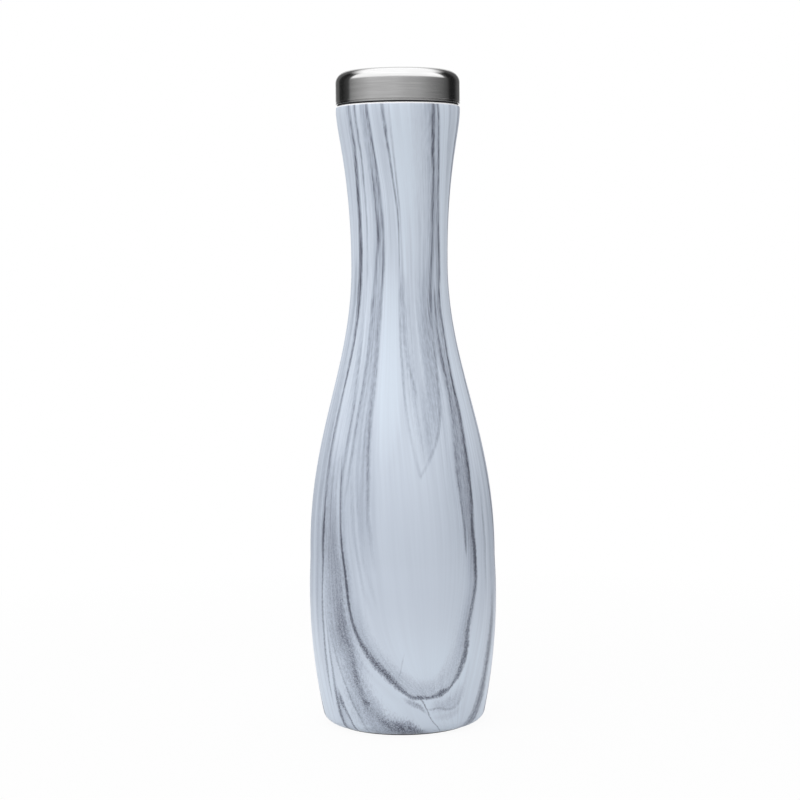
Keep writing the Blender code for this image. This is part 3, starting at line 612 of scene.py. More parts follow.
def turned(name, outline, ridges=None, relief=None):
    """One closed piece turned about the Z axis from a closed outline; points on the axis close it there."""
    angles = math.tau * np.arange(COLUMNS) / COLUMNS
    points = []
    rows = []
    for index, (radius, height) in enumerate(outline):
        if radius == 0:
            rows.append([len(points)] * COLUMNS)
            points.append((0.0, 0.0, height))
            continue
        radii = np.full(COLUMNS, radius)
        if ridges is not None and ridges[index]:
            radii = radii + ridges[index] * relief(angles, height)
        rows.append(list(range(len(points), len(points) + COLUMNS)))
        points.extend(zip(radii * np.cos(angles), radii * np.sin(angles), np.full(COLUMNS, height)))
    faces = []
    for row, following in zip(rows, rows[1:] + rows[:1]):
        for column in range(COLUMNS):
            beside = (column + 1) % COLUMNS
            corners = dict.fromkeys((row[column], row[beside], following[beside], following[column]))
            if len(corners) > 2:
                faces.append(list(corners))
    mesh = bpy.data.meshes.new(name)
    mesh.from_pydata(points, [], faces)
    mesh.shade_smooth()
    mesh.set_sharp_from_angle(angle=SMOOTH_ANGLE)
    return show(name, mesh)


def smooth_points(points):
    """A smooth curve through rows of numbers, with a few steps between one row and the next."""
    rows = np.array(points, float)
    padded = np.concatenate([2 * rows[:1] - rows[1:2], rows, 2 * rows[-1:] - rows[-2:-1]])
    before, start, end, after = (padded[first:len(rows) - 1 + first, None] for first in range(4))
    t = (np.arange(CURVE_STEPS) / CURVE_STEPS)[None, :, None]
    curve = start + t / 2 * (end - before)
    curve = curve + t**2 / 2 * (2 * before - 5 * start + 4 * end - after)
    curve = curve + t**3 / 2 * (3 * start - before - 3 * end + after)
    return np.concatenate([curve.reshape(-1, rows.shape[1]), rows[-1:]])


def turn_between(azimuths, others):
    """Signed turn in degrees from one azimuth to another, from -180 to 180."""
    return (azimuths - others + 180) % 360 - 180


def whole_points(points):
    """A vein's points with all their numbers, and its darknesses as shares instead of percents."""
    rows = [points[0]]
    for point in points[1:]:
        rows.append((*point, *rows[-1][len(point):]))
    return np.array(rows, float) / (1, 1, 1, PERCENT, PERCENT)


def vein_places(vein, azimuths, heights, radii):
    """For each vertex its offset from a vein in half widths, and how dark the line and the band there are."""
    curve = smooth_points(whole_points(vein.points))
    start, step = curve[:-1], curve[1:] - curve[:-1]
    turn = turn_between(azimuths[:, None], start[None, :, 1])
    offset_x = np.radians(turn) * radii[:, None]
    offset_z = heights[:, None] - start[None, :, 0]
    step_x = np.radians(step[None, :, 1]) * radii[:, None]
    step_z = step[None, :, 0]
    along = np.clip((offset_x * step_x + offset_z * step_z) / (step_x**2 + step_z**2), 0, 1)
    distance = np.hypot(offset_x - along * step_x, offset_z - along * step_z)
    nearest = distance.argmin(1)
    at = (np.arange(len(azimuths)), nearest)
    side = step_x[at] * offset_z[at] - step_z[0, nearest] * offset_x[at]
    distance = distance[at] * np.sign(side) * vein.band
    width, line, band = (start[nearest] + along[at][:, None] * step[nearest])[:, 2:].T
    near = np.clip((VEIN_SIGHT - np.abs(turn[at])) / VEIN_SIGHT_FADE, 0, 1)
    beside = band * near * np.exp(-np.abs(distance) / vein.reach)
    return np.stack([2 * distance / width, line * near, beside], 1)


def grain_places(azimuths, heights):
    """For each vertex its place on a straight-grained cylinder, so that the veins there run straight up."""
    straight = np.array([azimuth for azimuth, _ in GRAIN])
    curves = [smooth_points(points) for _, points in GRAIN]
    bent = [np.interp(heights, curve[:, 0], curve[:, 1]) for curve in curves]
    bent = np.stack(bent + [bent[0] + 360], 1)
    straight = np.append(straight, straight[0] + 360)
    around = (azimuths[:, None] - bent[:, :1]) % 360 + bent[:, :1]
    after = np.clip((around >= bent).sum(1), 1, len(straight) - 1)
    index = np.arange(len(azimuths))
    low, high = bent[index, after - 1], bent[index, after]
    share = (around[:, 0] - low) / np.maximum(high - low, 1e-6)
    angle = np.radians(straight[after - 1] + share * (straight[after] - straight[after - 1]))
    radius = BELLY_RADIUS / MM
    return np.stack([radius * np.sin(angle), -radius * np.cos(angle), heights], 1)


def stillness(azimuths, heights):
    """For each vertex how blank the marble is, from 0 to 1."""
    still = np.zeros(len(azimuths))
    for height, azimuth, half_height, half_width in BLANKS:
        across = turn_between(azimuths, azimuth) / half_width
        away = across**2 + ((heights - height) / half_height) ** 2
        still = np.maximum(still, np.exp(-(away**2)))
    return np.stack([still] * 3, 1)


def lay_marble(piece):
    """Works out where each vertex of the body lies in the marble's pattern, and keeps it on the mesh."""
    places = np.empty(len(piece.data.vertices) * 3)
    piece.data.vertices.foreach_get("co", places)
    x, y, heights = places.reshape(-1, 3).T / MM
    azimuths = np.degrees(np.arctan2(x, -y))
    radii = np.hypot(x, y)
    layers = {f"vein_{number:02d}": vein_places(vein, azimuths, heights, radii)
              for number, vein in enumerate(VEINS)}
    layers["grain"] = grain_places(azimuths, heights)
    layers["blank"] = stillness(azimuths, heights)
    for name, values in layers.items():
        layer = piece.data.attributes.new(name, "FLOAT_VECTOR", "POINT")
        layer.data.foreach_set("vector", np.asarray(values, np.float32).ravel())


class Nodes:
    """Builds the nodes of one tree. A value is a number, a tuple or another node's output."""

    def __init__(self, tree):
        self.tree = tree

    def put(self, socket, value):
        if isinstance(value, bpy.types.NodeSocket):
            self.tree.links.new(value, socket)
        else:
            socket.default_value = value

    def fill(self, node, **values):
        """Sets a node's inputs, which are named with underscores for spaces."""
        for name, value in values.items():
            self.put(node.inputs[name.replace("_", " ")], value)
        return node

    def add(self, kind, settings=None, **values):
        """A new node with its settings and inputs."""
        node = self.tree.nodes.new("ShaderNode" + kind)
        for name, value in (settings or {}).items():
            setattr(node, name, value)
        return self.fill(node, **values)

    def result(self, kind, settings, *values):
        """The first output of a new node whose first inputs are given in their order."""
        node = self.add(kind, settings)
        for socket, value in zip(node.inputs, values):
            self.put(socket, value)
        return node.outputs[0]

    def math(self, operation, *values, clamp=False):
        return self.result("Math", {"operation": operation, "use_clamp": clamp}, *values)

    def product(self, first, *others):
        for other in others:
            first = self.math("MULTIPLY", first, other)
        return first

    def stretched(self, vector, *factors):
        """A vector with its parts multiplied, to draw a texture out along one of them."""
        return self.result("VectorMath", {"operation": "MULTIPLY"}, vector, factors)

    def place(self):
        """A point's place on its object, in metres."""
        return self.add("TexCoord").outputs["Object"]

    def kept(self, name):
        """What lay_marble keeps on the mesh under a name."""
        return self.add("Attribute", {"attribute_name": name}).outputs["Vector"]

    def part(self, vector, axis):
        return self.add("SeparateXYZ", Vector=vector).outputs[axis]

    def grey(self, value):
        """A colour whose three parts are the same."""
        return self.add("CombineXYZ", X=value, Y=value, Z=value).outputs["Vector"]

    def noise(self, vector, scale, detail=2.0, roughness=0.5):
        node = self.add("TexNoise", Vector=vector, Scale=scale, Detail=detail, Roughness=roughness)
        return node.outputs["Fac"]

    def spread(self, value, low, high, to_low=0.0, to_high=1.0, smooth=False):
        """Maps a value from one range onto another."""
        settings = {"interpolation_type": "SMOOTHSTEP" if smooth else "LINEAR"}
        return self.result("MapRange", settings, value, low, high, to_low, to_high)

    def ramp(self, value, stops):
        """A colour ramp through stops of (place, colour), from the lowest place to the highest."""
        node = self.add("ValToRGB", Fac=value)
        elements = node.color_ramp.elements
        for element, (place, colour) in zip(elements, (stops[0], stops[-1])):
            element.position = place
            element.color = colour
        for place, colour in stops[1:-1]:
            elements.new(place).color = colour
        return node.outputs["Color"]

    def blend(self, share, first, second, mode="MIX"):
        node = self.add("Mix", {"data_type": "RGBA", "blend_type": mode})
        for socket, value in zip((node.inputs[0], node.inputs[6], node.inputs[7]), (share, first, second)):
            self.put(socket, value)
        return node.outputs[2]

    def relief(self, height, strength, distance):
        """The normal of a face with a fine relief."""
        return self.add("Bump", Height=height, Strength=strength, Distance=distance).outputs["Normal"]


def shade(red, green, blue):
    """A colour as seen on screen, from 0 to 255, in linear light."""
    seen = [part / 255 for part in (red, green, blue)]
    return (*[((part + 0.055) / 1.055) ** 2.4 if part > 0.04045 else part / 12.92 for part in seen], 1.0)


def new_material(name):
    """A material, the builder of its nodes, and its shader."""
    material = bpy.data.materials.new(name)
    material.use_nodes = True
    nodes = Nodes(material.node_tree)
    return material, nodes, material.node_tree.nodes["Principled BSDF"]


def vein_group():
    """Takes one vein out of the clear part of the coating: its line, and the band on one side of it."""
    group = bpy.data.node_groups.new("vein", "ShaderNodeTree")
    for name, kind in (("Clear", "Float"), ("Place", "Vector"), ("Wobble", "Float")):
        group.interface.new_socket(name, in_out="INPUT", socket_type="NodeSocket" + kind)
    group.interface.new_socket("Clear", in_out="OUTPUT", socket_type="NodeSocketFloat")
    nodes = Nodes(group)
    entry = group.nodes.new("NodeGroupInput").outputs
    leave = group.nodes.new("NodeGroupOutput")
    parts = nodes.add("SeparateXYZ", Vector=entry["Place"]).outputs
    offset = nodes.math("ADD", parts["X"], entry["Wobble"])
    line = nodes.spread(nodes.math("ABSOLUTE", offset), *LINE_EDGE, 1.0, 0.0, smooth=True)
    line = nodes.product(line, parts["Y"])
    band = nodes.product(nodes.spread(offset, *BAND_EDGE, smooth=True), parts["Z"])
    clear = [nodes.math("SUBTRACT", 1.0, dark) for dark in (line, band)]
    nodes.fill(leave, Clear=nodes.product(*clear, entry["Clear"]))
    return group


def veins_ink(nodes, wobble):
    """How much of the coating the veins cover at a point, from 0 to 1."""
    group = vein_group()
    clear = 1.0
    for number in range(len(VEINS)):
        node = nodes.tree.nodes.new("ShaderNodeGroup")
        node.node_tree = group
        nodes.fill(node, Clear=clear, Place=nodes.kept(f"vein_{number:02d}"), Wobble=wobble)
        clear = node.outputs["Clear"]
    return nodes.math("SUBTRACT", 1.0, clear)


def grain_ink(nodes, height, wide, fine):
    """How dark the grain's streaks and the painted shade over the belly are between the veins."""
    blank = nodes.add("Attribute", {"attribute_name": "blank"}).outputs["Fac"]
    streaks = nodes.math("ADD", nodes.spread(wide, 0.40, 0.70, 0, 0.17),
                         nodes.spread(fine, 0.35, 0.70, 0, 0.13))
    streaks = nodes.product(streaks, nodes.spread(blank, 0, 1, 1.0, BLANK_GRAIN),
                            nodes.spread(height, *NECK_GRAIN_FADE, 1.0, 0.6),
                            nodes.spread(height, *BASE_GRAIN_RISE, 0.5, 1.0))
    # Painted shade: the coating is darkened evenly over the belly, rising and fading with height
    belly_painted_shade = nodes.product(nodes.spread(height, *BELLY_PAINTED_SHADE_RISE, smooth=True),
                             nodes.spread(height, *BELLY_PAINTED_SHADE_FADE, 1.0, 0.0, smooth=True))
    return nodes.math("ADD", streaks, nodes.product(belly_painted_shade, BELLY_PAINTED_SHADE))


def coating_material():
    """Satin pale coating with grey veins, streaks of grain along them and a stipple in the dark parts."""
    material, nodes, shader = new_material("veined_coating")
    grain = nodes.kept("grain")
    place = nodes.stretched(nodes.place(), 1 / MM, 1 / MM, 1 / MM)
    height = nodes.part(place, "Z")
    drawn_out = nodes.spread(height, *DRAWN_OUT_RISE)

    wander = nodes.noise(nodes.stretched(grain, 1.0, 1.0, 0.30), 0.22)
    jag = nodes.noise(nodes.stretched(place, 1.0, 1.0, 0.55), 1.3, detail=3.0)
    rough_edge = nodes.product(nodes.spread(jag, 0, 1, -1.1, 1.1), nodes.spread(drawn_out, 0, 1, 1.0, 0.25))
    wobble = nodes.math("ADD", nodes.spread(wander, 0, 1, -0.6, 0.6), rough_edge)

    wide = nodes.noise(nodes.stretched(grain, 1.0, 1.0, 0.028), 0.19, detail=3.0, roughness=0.55)
    fine = nodes.noise(nodes.stretched(grain, 1.0, 1.0, 0.02), 0.80, detail=3.0, roughness=0.6)
    patches = nodes.noise(nodes.stretched(grain, 1.0, 1.0, 0.12), 0.16, detail=1.0)
    stipple = nodes.noise(place, 1.9, detail=3.0, roughness=0.75)
    threads = nodes.noise(nodes.stretched(place, 1.0, 1.0, 0.06), 1.4, roughness=0.6)
    speckle = nodes.blend(drawn_out, stipple, threads)
    dust = nodes.spread(speckle, 0.34, 0.66, nodes.spread(drawn_out, 0, 1, 0.35, 0.60),
                        nodes.spread(drawn_out, 0, 1, 1.60, 1.30))
    ink = nodes.product(veins_ink(nodes, wobble), dust, nodes.spread(patches, 0.30, 0.70, 0.75, 1.15),
                        nodes.spread(fine, 0.30, 0.70, 0.75, 1.25))
    ink = nodes.math("ADD", ink, grain_ink(nodes, height, wide, fine), clamp=True)

    colour = nodes.ramp(ink, [(share, shade(*tone)) for share, tone in COATING_TONES])
    # Painted highlight: a near-white ring along the lip's rounded edge, blended over the coating
    lip_highlight = nodes.spread(height, (LIP_Z - LIP_HIGHLIGHT_DEPTH) / MM, LIP_Z / MM - LIP_HIGHLIGHT_DEPTH / MM / 2, smooth=True)
    nodes.fill(shader, Base_Color=nodes.blend(lip_highlight, colour, shade(*LIP_HIGHLIGHT_TONE)),
               Roughness=nodes.spread(speckle, 0, 1, 0.38, 0.46), Specular_IOR_Level=0.15,
               Normal=nodes.relief(speckle, 0.04, 0.0002))
    return material


def brushed_material(colour, roughness):
    """Steel brushed round the Z axis: fine lines that run round it, on the side and on the flat alike."""
    material, nodes, shader = new_material("brushed_finish")
    parts = nodes.add("SeparateXYZ", Vector=nodes.place()).outputs
    radius = nodes.math("SQRT", nodes.math("ADD", *[nodes.math("POWER", parts[axis], 2.0) for axis in "XY"]))
    down = nodes.math("SUBTRACT", radius, parts["Z"])
    around = nodes.add("CombineXYZ", X=nodes.product(parts["X"], BRUSH_ALONG),
                       Y=nodes.product(parts["Y"], BRUSH_ALONG), Z=nodes.product(down, BRUSH_ACROSS))
    around = around.outputs["Vector"]
    scratch = nodes.noise(around, 1.0, detail=4.0, roughness=0.7)
    coarse = nodes.noise(nodes.stretched(around, 1.0, 1.0, 0.18), 1.0)
    tone = nodes.math("ADD", *[nodes.spread(lines, 0.2, 0.8, -0.5, 0.5) for lines in (scratch, coarse)])
    light = nodes.grey(nodes.spread(tone, -1, 1, 0.80, 1.14))
    tangent = nodes.add("Tangent", {"direction_type": "RADIAL", "axis": "Z"})
    nodes.fill(shader, Metallic=1.0, Anisotropic=0.6, Anisotropic_Rotation=0.25,
               Base_Color=nodes.blend(1.0, colour, light, "MULTIPLY"),
               Roughness=nodes.spread(scratch, 0.2, 0.8, roughness - 0.03, roughness + 0.05),
               Tangent=tangent.outputs["Tangent"], Normal=nodes.relief(scratch, 0.12, 0.00003))
    return material


def drawn_steel_material():
    """Electropolished steel of the inner vessel, with faint drawing lines round it."""
    material, nodes, shader = new_material("drawn_finish")
    place = nodes.place()
    drawn = nodes.noise(nodes.stretched(place, 30.0, 30.0, 1600.0), 1.0, detail=3.0)
    cloud = nodes.noise(place, 90.0, detail=3.0)
    colour = nodes.ramp(cloud, [(0.3, (0.52, 0.52, 0.51, 1.0)), (0.7, (0.62, 0.62, 0.61, 1.0))])
    nodes.fill(shader, Base_Color=colour, Metallic=1.0, Roughness=nodes.spread(drawn, 0.2, 0.8, 0.20, 0.34),
               Normal=nodes.relief(drawn, 0.08, 0.00004))
    return material


def grainy_material(name, dark, light, roughness, scale, strength, metallic=0.0, cells=False):
    """A matte finish with a fine grain or cells in its colour, its roughness and its relief."""
    material, nodes, shader = new_material(name)
    place = nodes.place()
    if cells:
        height = nodes.add("TexVoronoi", Vector=place, Scale=scale).outputs["Distance"]
    else:
        height = nodes.noise(place, scale, detail=4.0, roughness=0.6)
    cloud = nodes.noise(place, scale * 0.04, detail=3.0)
    tone = nodes.math("ADD", nodes.product(height, 0.6), nodes.product(cloud, 0.4))
    nodes.fill(shader, Base_Color=nodes.ramp(tone, [(0.3, (*dark, 1.0)), (0.7, (*light, 1.0))]),
               Roughness=nodes.spread(height, 0.2, 0.8, roughness - 0.06, roughness + 0.06),
               Metallic=metallic, Normal=nodes.relief(height, strength, 0.0001))
    return material


def dress(piece, slot, body, node):
    """Gives a piece the finish of its slot, and lets it stand for a CAD node on its body."""
    piece.data.materials.append(finishes[slot])
    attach(piece, body)
    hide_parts(node)


def make_body(side):
    """Coated outer wall with the foot ring's seat and the rolled lip."""
    seat_radius = FOOT_RADIUS + CONTACT_GAP
    inner = sunk(side, SHELL_WALL)
    inner = inner[inner[:, 1] > FLANGE_TOP_Z][::-INNER_STRIDE]
    outline = np.concatenate([
        [(OPENING_RADIUS, SEAT_Z), (seat_radius, SEAT_Z), (seat_radius, UNDERSIDE_Z)],
        side[0],
        [(WELD_RADIUS, LIP_Z), (WELD_RADIUS, LIP_Z - SHELL_WALL)],
        inner,
        [(inner[-1][0], FLANGE_TOP_Z), (OPENING_RADIUS, FLANGE_TOP_Z)],
    ])
    piece = turned("carafe_body", outline)
    lay_marble(piece)
    dress(piece, "pale_coating", "root", "outer_shell")


def make_mouth(side):
    """Inner vessel: its wall, the rolled thread in the mouth and the rounded inner edge of the lip."""
    points, normals = side
    inside = (points[:, 1] > LINER_END_Z) & (points[:, 1] < NECK_THREAD_Z)

    def face(depth, neck_radius):
        rings = sunk((points[inside], normals[inside]), depth)
        rings = rings[rings[:, 1] < NECK_THREAD_Z - CONTACT_GAP]
        above = rings[:, 1] > WAIST_Z
        rings[above, 0] = np.minimum(rings[above, 0], neck_radius)
        ridges = [0.0] * len(rings) + [-THREAD_HEIGHT] * (THREAD_ROWS + 1)
        return np.concatenate([rings, thread_rows(neck_radius, NECK_THREAD_Z)]), ridges

    outer_radius = MOUTH_BORE + LINER_WALL
    flange_radius = WELD_RADIUS - CONTACT_GAP
    corner = arc((MOUTH_BORE + MOUTH_CORNER, LIP_Z - MOUTH_CORNER), -MOUTH_CORNER, 0, -math.pi / 2)[0]
    low_z = LIP_Z - LINER_WALL
    flange = [(flange_radius, LIP_Z), (flange_radius, low_z), (outer_radius, low_z)]
    bore, bore_ridges = face(BORE_DEPTH, MOUTH_BORE)
    back, back_ridges = face(LINER_DEPTH, outer_radius)
    outline = np.concatenate([bore, corner, flange, back[::-1]])
    ridges = bore_ridges + [0.0] * (len(corner) + len(flange)) + back_ridges[::-1]
    piece = turned("vessel_wall", outline, ridges, thread_relief(NECK_PHASE_SHARE, NECK_THREAD_Z))
    dress(piece, "inner_steel", "root", "inner_liner")


def make_floor(side):
    """Domed floor of the inner vessel."""
    points, normals = side
    end = np.array([np.interp(LINER_END_Z, points[:, 1], points[:, 0]), LINER_END_Z])
    normal = np.array([np.interp(LINER_END_Z, points[:, 1], normals[:, part]) for part in (0, 1)])
    end = end - BORE_DEPTH * normal / np.linalg.norm(normal)
    radius = end[0] - CONTACT_GAP
    corner_centre = np.array((radius - FLOOR_CORNER, end[1]))
    share = np.linspace(0, 1, 2 * CORNER_STEPS, endpoint=False)
    low_z = end[1] - FLOOR_CORNER
    dome = np.stack([corner_centre[0] * share, low_z + FLOOR_DOME * (1 - share**2)], 1)
    corner = arc(corner_centre, FLOOR_CORNER, -math.pi / 2, 0)
    top_z = end[1] + FLOOR_RIM
    lower = np.concatenate([dome, corner[0]])
    upper = np.concatenate([dome + (0, LINER_WALL), sunk(corner, LINER_WALL)])
    outline = np.concatenate([lower, [(radius, top_z), (radius - LINER_WALL, top_z)], upper[::-1]])
    dress(turned("vessel_floor", outline), "inner_steel", "root", "liner_bottom")


def make_underside():
    """Brushed cover with its pressed groove, and the silicone ring that the carafe stands on."""
    radius = OPENING_RADIUS - CONTACT_GAP
    corner = arc((radius - COVER_CORNER, COVER_Z + COVER_CORNER), COVER_CORNER, -math.pi / 2, 0)
    groove_bore = COVER_GROOVE_RADIUS - COVER_GROOVE_WIDTH
    across = np.linspace(groove_bore - COVER_GROOVE_DEPTH, COVER_GROOVE_RADIUS + COVER_GROOVE_DEPTH,
                         GROOVE_ROWS)
    sweep = np.linspace(0, math.tau, GROOVE_ROWS)
    groove = np.stack([across, COVER_Z + COVER_GROOVE_DEPTH * (1 - np.cos(sweep)) / 2], 1)
    face = np.concatenate([[(0.0, COVER_Z)], groove])
    lower = np.concatenate([face, corner[0], [(radius, FLANGE_TOP_Z)]])
    rim = [(radius - COVER_SHEET, FLANGE_TOP_Z)]
    back = np.concatenate([face + (0, COVER_SHEET), sunk(corner, COVER_SHEET), rim])
    cover = turned("underside_cover", np.concatenate([lower, back[::-1]]))
    dress(cover, "brushed_steel", "root", "base_cover")

    ring_top = SEAT_Z - CONTACT_GAP
    outline = np.concatenate([
        rounded(FOOT_RADIUS - FOOT_CHAMFER, FOOT_CHAMFER, FOOT_CHAMFER, 0),
        [(FOOT_RADIUS, ring_top), (FOOT_BORE, ring_top)],
        rounded(FOOT_BORE + FOOT_CHAMFER, FOOT_CHAMFER, FOOT_CHAMFER, 3),
    ])
    dress(turned("silicone_foot", outline), "dark_silicone", "root", "foot_ring")


def make_cap_cover():
    """Brushed cover with its rounded shoulder and its hem."""
    centre = (CAP_RADIUS - CAP_CORNER, CROWN_Z - CAP_CORNER)
    shoulder = arc(centre, CAP_CORNER, 0, math.pi / 2, 3 * CORNER_STEPS)
    eased_radius = CAP_RADIUS - HEM_EASE
    hem_z = HEM_Z + HEM_HEIGHT
    hem = [
        (CAP_RADIUS, hem_z),
        (eased_radius, hem_z + HEM_EASE),
        (eased_radius, hem_z + HEM_GROOVE),
        (CAP_RADIUS, hem_z + HEM_GROOVE + HEM_EASE),
    ]
    roll = rounded(eased_radius, HEM_Z + HEM_EASE, HEM_EASE, 0)
    outside = np.concatenate([roll, hem, shoulder[0], [(0.0, CROWN_Z)]])
    inside = np.concatenate([[(CAP_BORE, HEM_Z)], sunk(shoulder, CAP_SHEET), [(0.0, CROWN_Z - CAP_SHEET)]])
    cover = turned("cap_cover", np.concatenate([outside, inside[::-1]]))
    dress(cover, "brushed_steel", "cap", "cap_shell")


def make_plug():
    """Threaded plug, open at the top under the cap's cover."""
    nose = rounded(PLUG_ROOT - PLUG_NOSE, PLUG_TIP_Z + PLUG_NOSE, PLUG_NOSE, 0, CORNER_STEPS)
    thread = thread_rows(PLUG_ROOT, PLUG_THREAD_Z)
    before = np.concatenate([[(0.0, PLUG_TIP_Z)], nose])
    after = np.array([
        (PLUG_ROOT, PLUG_FLANGE_Z),
        (PLUG_RIM_RADIUS - PLUG_EDGE, PLUG_FLANGE_Z),
        (PLUG_RIM_RADIUS, PLUG_FLANGE_Z + PLUG_EDGE),
        (PLUG_RIM_RADIUS, PLUG_RIM_Z),
        (PLUG_RIM_BORE, PLUG_RIM_Z),
        (PLUG_RIM_BORE, PLUG_FLANGE_Z + PLUG_WALL),
        (PLUG_BORE, PLUG_FLANGE_Z + PLUG_WALL),
        (PLUG_BORE, PLUG_TIP_Z + PLUG_WALL),
        (0.0, PLUG_TIP_Z + PLUG_WALL),
    ])
    ridges = [0.0] * len(before) + [THREAD_HEIGHT] * len(thread) + [0.0] * len(after)
    outline = np.concatenate([before, thread, after])
    plug = turned("threaded_plug", outline, ridges, thread_relief(PLUG_PHASE_SHARE, PLUG_THREAD_Z))
    dress(plug, "black_plastic", "cap", "plug")


def make_gasket():
    """Rounded flat ring between the plug's flange and the lip."""
    bore = PLUG_ROOT + CONTACT_GAP + GASKET_ROUND
    radius = PLUG_RIM_RADIUS - GASKET_ROUND
    low = GASKET_Z + GASKET_ROUND
    high = GASKET_Z + GASKET_THICKNESS - GASKET_ROUND
    centres = [(radius, low), (radius, high), (bore, high), (bore, low)]
    corners = [rounded(*centre, GASKET_ROUND, quarter) for quarter, centre in enumerate(centres)]
    dress(turned("mouth_gasket", np.concatenate(corners)), "dark_silicone", "seal", "rim_gasket")


def turn_to_carafe(thing, place):
    """Puts a camera or a lamp at a place, aimed at the middle of the carafe."""
    thing.location = place
    thing.rotation_euler = (CAMERA_AIM - place).to_track_quat("-Z", "Y").to_euler()


def make_camera():
    data = bpy.data.cameras.new("camera")
    data.sensor_width = CAMERA_SENSOR
    data.lens = CAMERA_LENS
    data.shift_x = CAMERA_SHIFT
    camera = show("camera", data)
    turn_to_carafe(camera, CAMERA_PLACE)
    camera.rotation_euler.rotate_axis("Z", CAMERA_ROLL)
    bpy.context.scene.camera = camera


def make_lamp():
    """Large softbox above, in front and to the left."""
    data = bpy.data.lights.new("softbox", "AREA")
    data.shape = "SQUARE"
    data.size = LAMP_SIZE
    data.energy = LAMP_WATTS
    lamp = show("softbox", data)
    turn_to_carafe(lamp, LAMP_PLACE)
    lamp.visible_glossy = False


def seen_directly(nodes):
    """1 for camera, glossy and transmission rays, and 0 for the light that falls on things."""
    rays = nodes.add("LightPath").outputs
    seen = nodes.math("ADD", rays["Is Camera Ray"], rays["Is Glossy Ray"])
    return nodes.math("ADD", seen, rays["Is Transmission Ray"], clamp=True)


def make_floor_stage():
    """Pale floor: it shows the shadow near the carafe, is white further off, and isn't mirrored there."""
    material, nodes, shader = new_material("studio_floor")
    distance = nodes.add("VectorMath", {"operation": "LENGTH"})
    nodes.put(distance.inputs[0], nodes.place())
    distance = distance.outputs["Value"]
    bounce = nodes.spread(distance, FLOOR_NEAR, FLOOR_FAR, *FLOOR_BOUNCE)
    nodes.fill(shader, Base_Color=nodes.grey(bounce), Roughness=0.9, Specular_IOR_Level=0.1)
    glow = nodes.add("Emission", Color=WHITE, Strength=1.0)
    glow_share = nodes.spread(distance, FLOOR_NEAR, FLOOR_FAR, FLOOR_GLOW, 1.0)
    mixed = nodes.add("MixShader", Fac=nodes.product(seen_directly(nodes), glow_share))
    nodes.put(mixed.inputs[1], shader.outputs["BSDF"])
    nodes.put(mixed.inputs[2], glow.outputs["Emission"])
    mirrored = nodes.product(nodes.add("LightPath").outputs["Is Glossy Ray"],
                             nodes.spread(distance, FLOOR_FAR - FLOOR_NEAR, FLOOR_FAR, smooth=True))
    passing = nodes.add("MixShader", Fac=mirrored)
    nodes.put(passing.inputs[1], mixed.outputs["Shader"])
    nodes.put(passing.inputs[2], nodes.add("BsdfTransparent").outputs["BSDF"])
    nodes.fill(nodes.tree.nodes["Material Output"], Surface=passing.outputs["Shader"])
    half = FLOOR_SIZE / 2
    mesh = bpy.data.meshes.new("studio_floor")
    corners = [(-half, -half, 0), (half, -half, 0), (half, half, 0), (-half, half, 0)]
    mesh.from_pydata(corners, [], [(0, 1, 2, 3)])
    mesh.materials.append(material)
    floor = show("studio_floor", mesh)


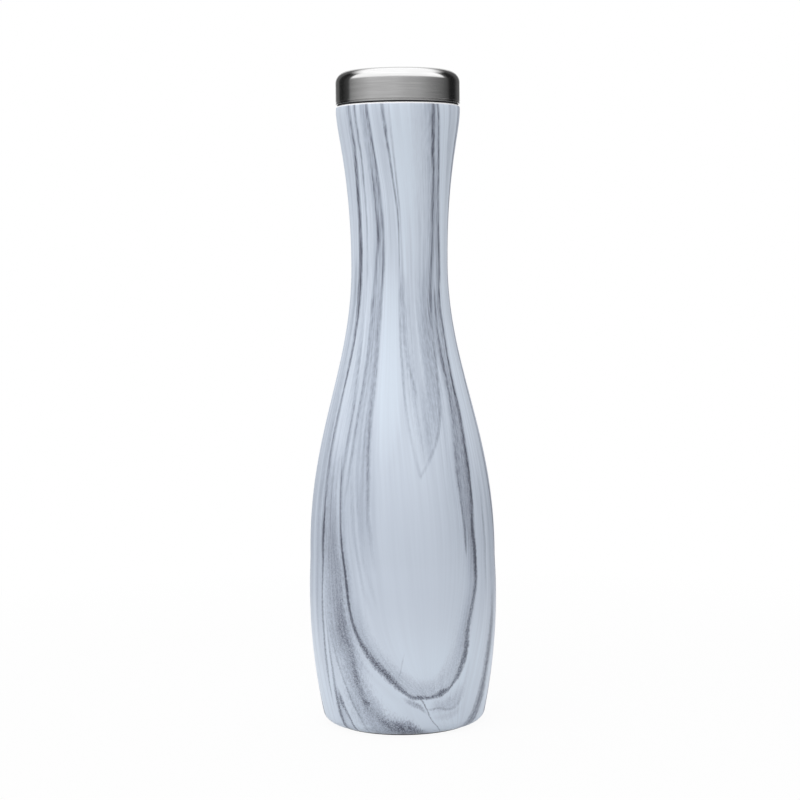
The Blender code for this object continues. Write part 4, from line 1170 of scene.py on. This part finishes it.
def make_world():
    """Even light all round, white to the camera, and in reflections flags below a bank of lamps."""
    world = bpy.data.worlds.new("studio")
    bpy.context.scene.world = world
    world.use_nodes = True
    nodes = Nodes(world.node_tree)
    way = nodes.add("SeparateXYZ", Vector=nodes.add("TexCoord").outputs["Generated"]).outputs
    azimuth = nodes.math("ARCTAN2", way["X"], nodes.product(way["Y"], -1.0))
    stops = [(azimuth / 360 + 0.5, (tone, tone, tone, 1.0)) for azimuth, tone in FLAGS]
    flags = nodes.ramp(nodes.spread(azimuth, -math.pi, math.pi), stops)
    bowed = nodes.math("MAXIMUM", nodes.math("COSINE", nodes.product(azimuth, 0.5)), 0.1)
    bowed = nodes.spread(nodes.math("DIVIDE", way["Z"], bowed), *BANK_FRONT_EDGE, smooth=True)
    in_front = nodes.spread(nodes.math("ABSOLUTE", azimuth), *BANK_ENDS, 1.0, 0.0)
    above = nodes.spread(way["Z"], *BANK_EDGE, smooth=True)
    bank = nodes.math("MAXIMUM", above, nodes.product(bowed, in_front))
    mirrored = nodes.blend(bank, flags, (BANK_LIGHT, BANK_LIGHT, BANK_LIGHT, 1.0))
    fill = nodes.spread(way["Z"], -HORIZON, HORIZON, AMBIENT_BELOW, AMBIENT, smooth=True)
    fill = nodes.spread(way["Y"], *BACKDROP_EDGE, fill, BACKDROP, smooth=True)
    seen = nodes.blend(seen_directly(nodes), nodes.grey(fill), WHITE)
    light = nodes.blend(nodes.add("LightPath").outputs["Is Glossy Ray"], seen, mirrored)
    nodes.fill(world.node_tree.nodes["Background"], Color=light)


finishes = {
    "pale_coating": coating_material(),
    "brushed_steel": brushed_material((0.43, 0.43, 0.43, 1.0), 0.15),
    "inner_steel": drawn_steel_material(),
    "dark_silicone": grainy_material("silicone", (0.02, 0.02, 0.023), (0.04, 0.04, 0.045), 0.66, 2600, 0.1),
    "black_plastic": grainy_material("plastic", (0.035, 0.035, 0.038), (0.06, 0.06, 0.066), 0.42, 3800, 0.08),
    "white_foam": grainy_material("foam", (0.62, 0.6, 0.54), (0.84, 0.83, 0.78), 0.9, 900, 0.6, cells=True),
    "copper": grainy_material("foil", (0.62, 0.28, 0.16), (0.86, 0.48, 0.32), 0.3, 160, 0.5, metallic=1.0),
    "getter_alloy": grainy_material("getter", (0.12, 0.11, 0.11), (0.27, 0.26, 0.24), 0.62, 1500, 0.5, 1.0),
    "solder_glass": grainy_material("solder", (0.07, 0.09, 0.08), (0.13, 0.15, 0.14), 0.2, 700, 0.2),
}

side = body_side()
make_body(side)
make_mouth(side)
make_floor(side)
make_underside()
make_cap_cover()
make_plug()
make_gasket()

# The CAD nodes that stay get a better material
for node, slot in {
    "copper_foil": "copper",
    "vacuum_bottom": "inner_steel",
    "vacuum_seal": "solder_glass",
    "getter": "getter_alloy",
    "getter_clip": "inner_steel",
    "foam_core": "white_foam",
    "core_disc": "black_plastic",
}.items():
    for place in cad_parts[node].material_slots:
        place.link = "OBJECT"
        place.material = finishes[slot]

make_camera()
make_floor_stage()
make_world()
make_lamp()
bpy.context.scene.view_settings.view_transform = "Standard"
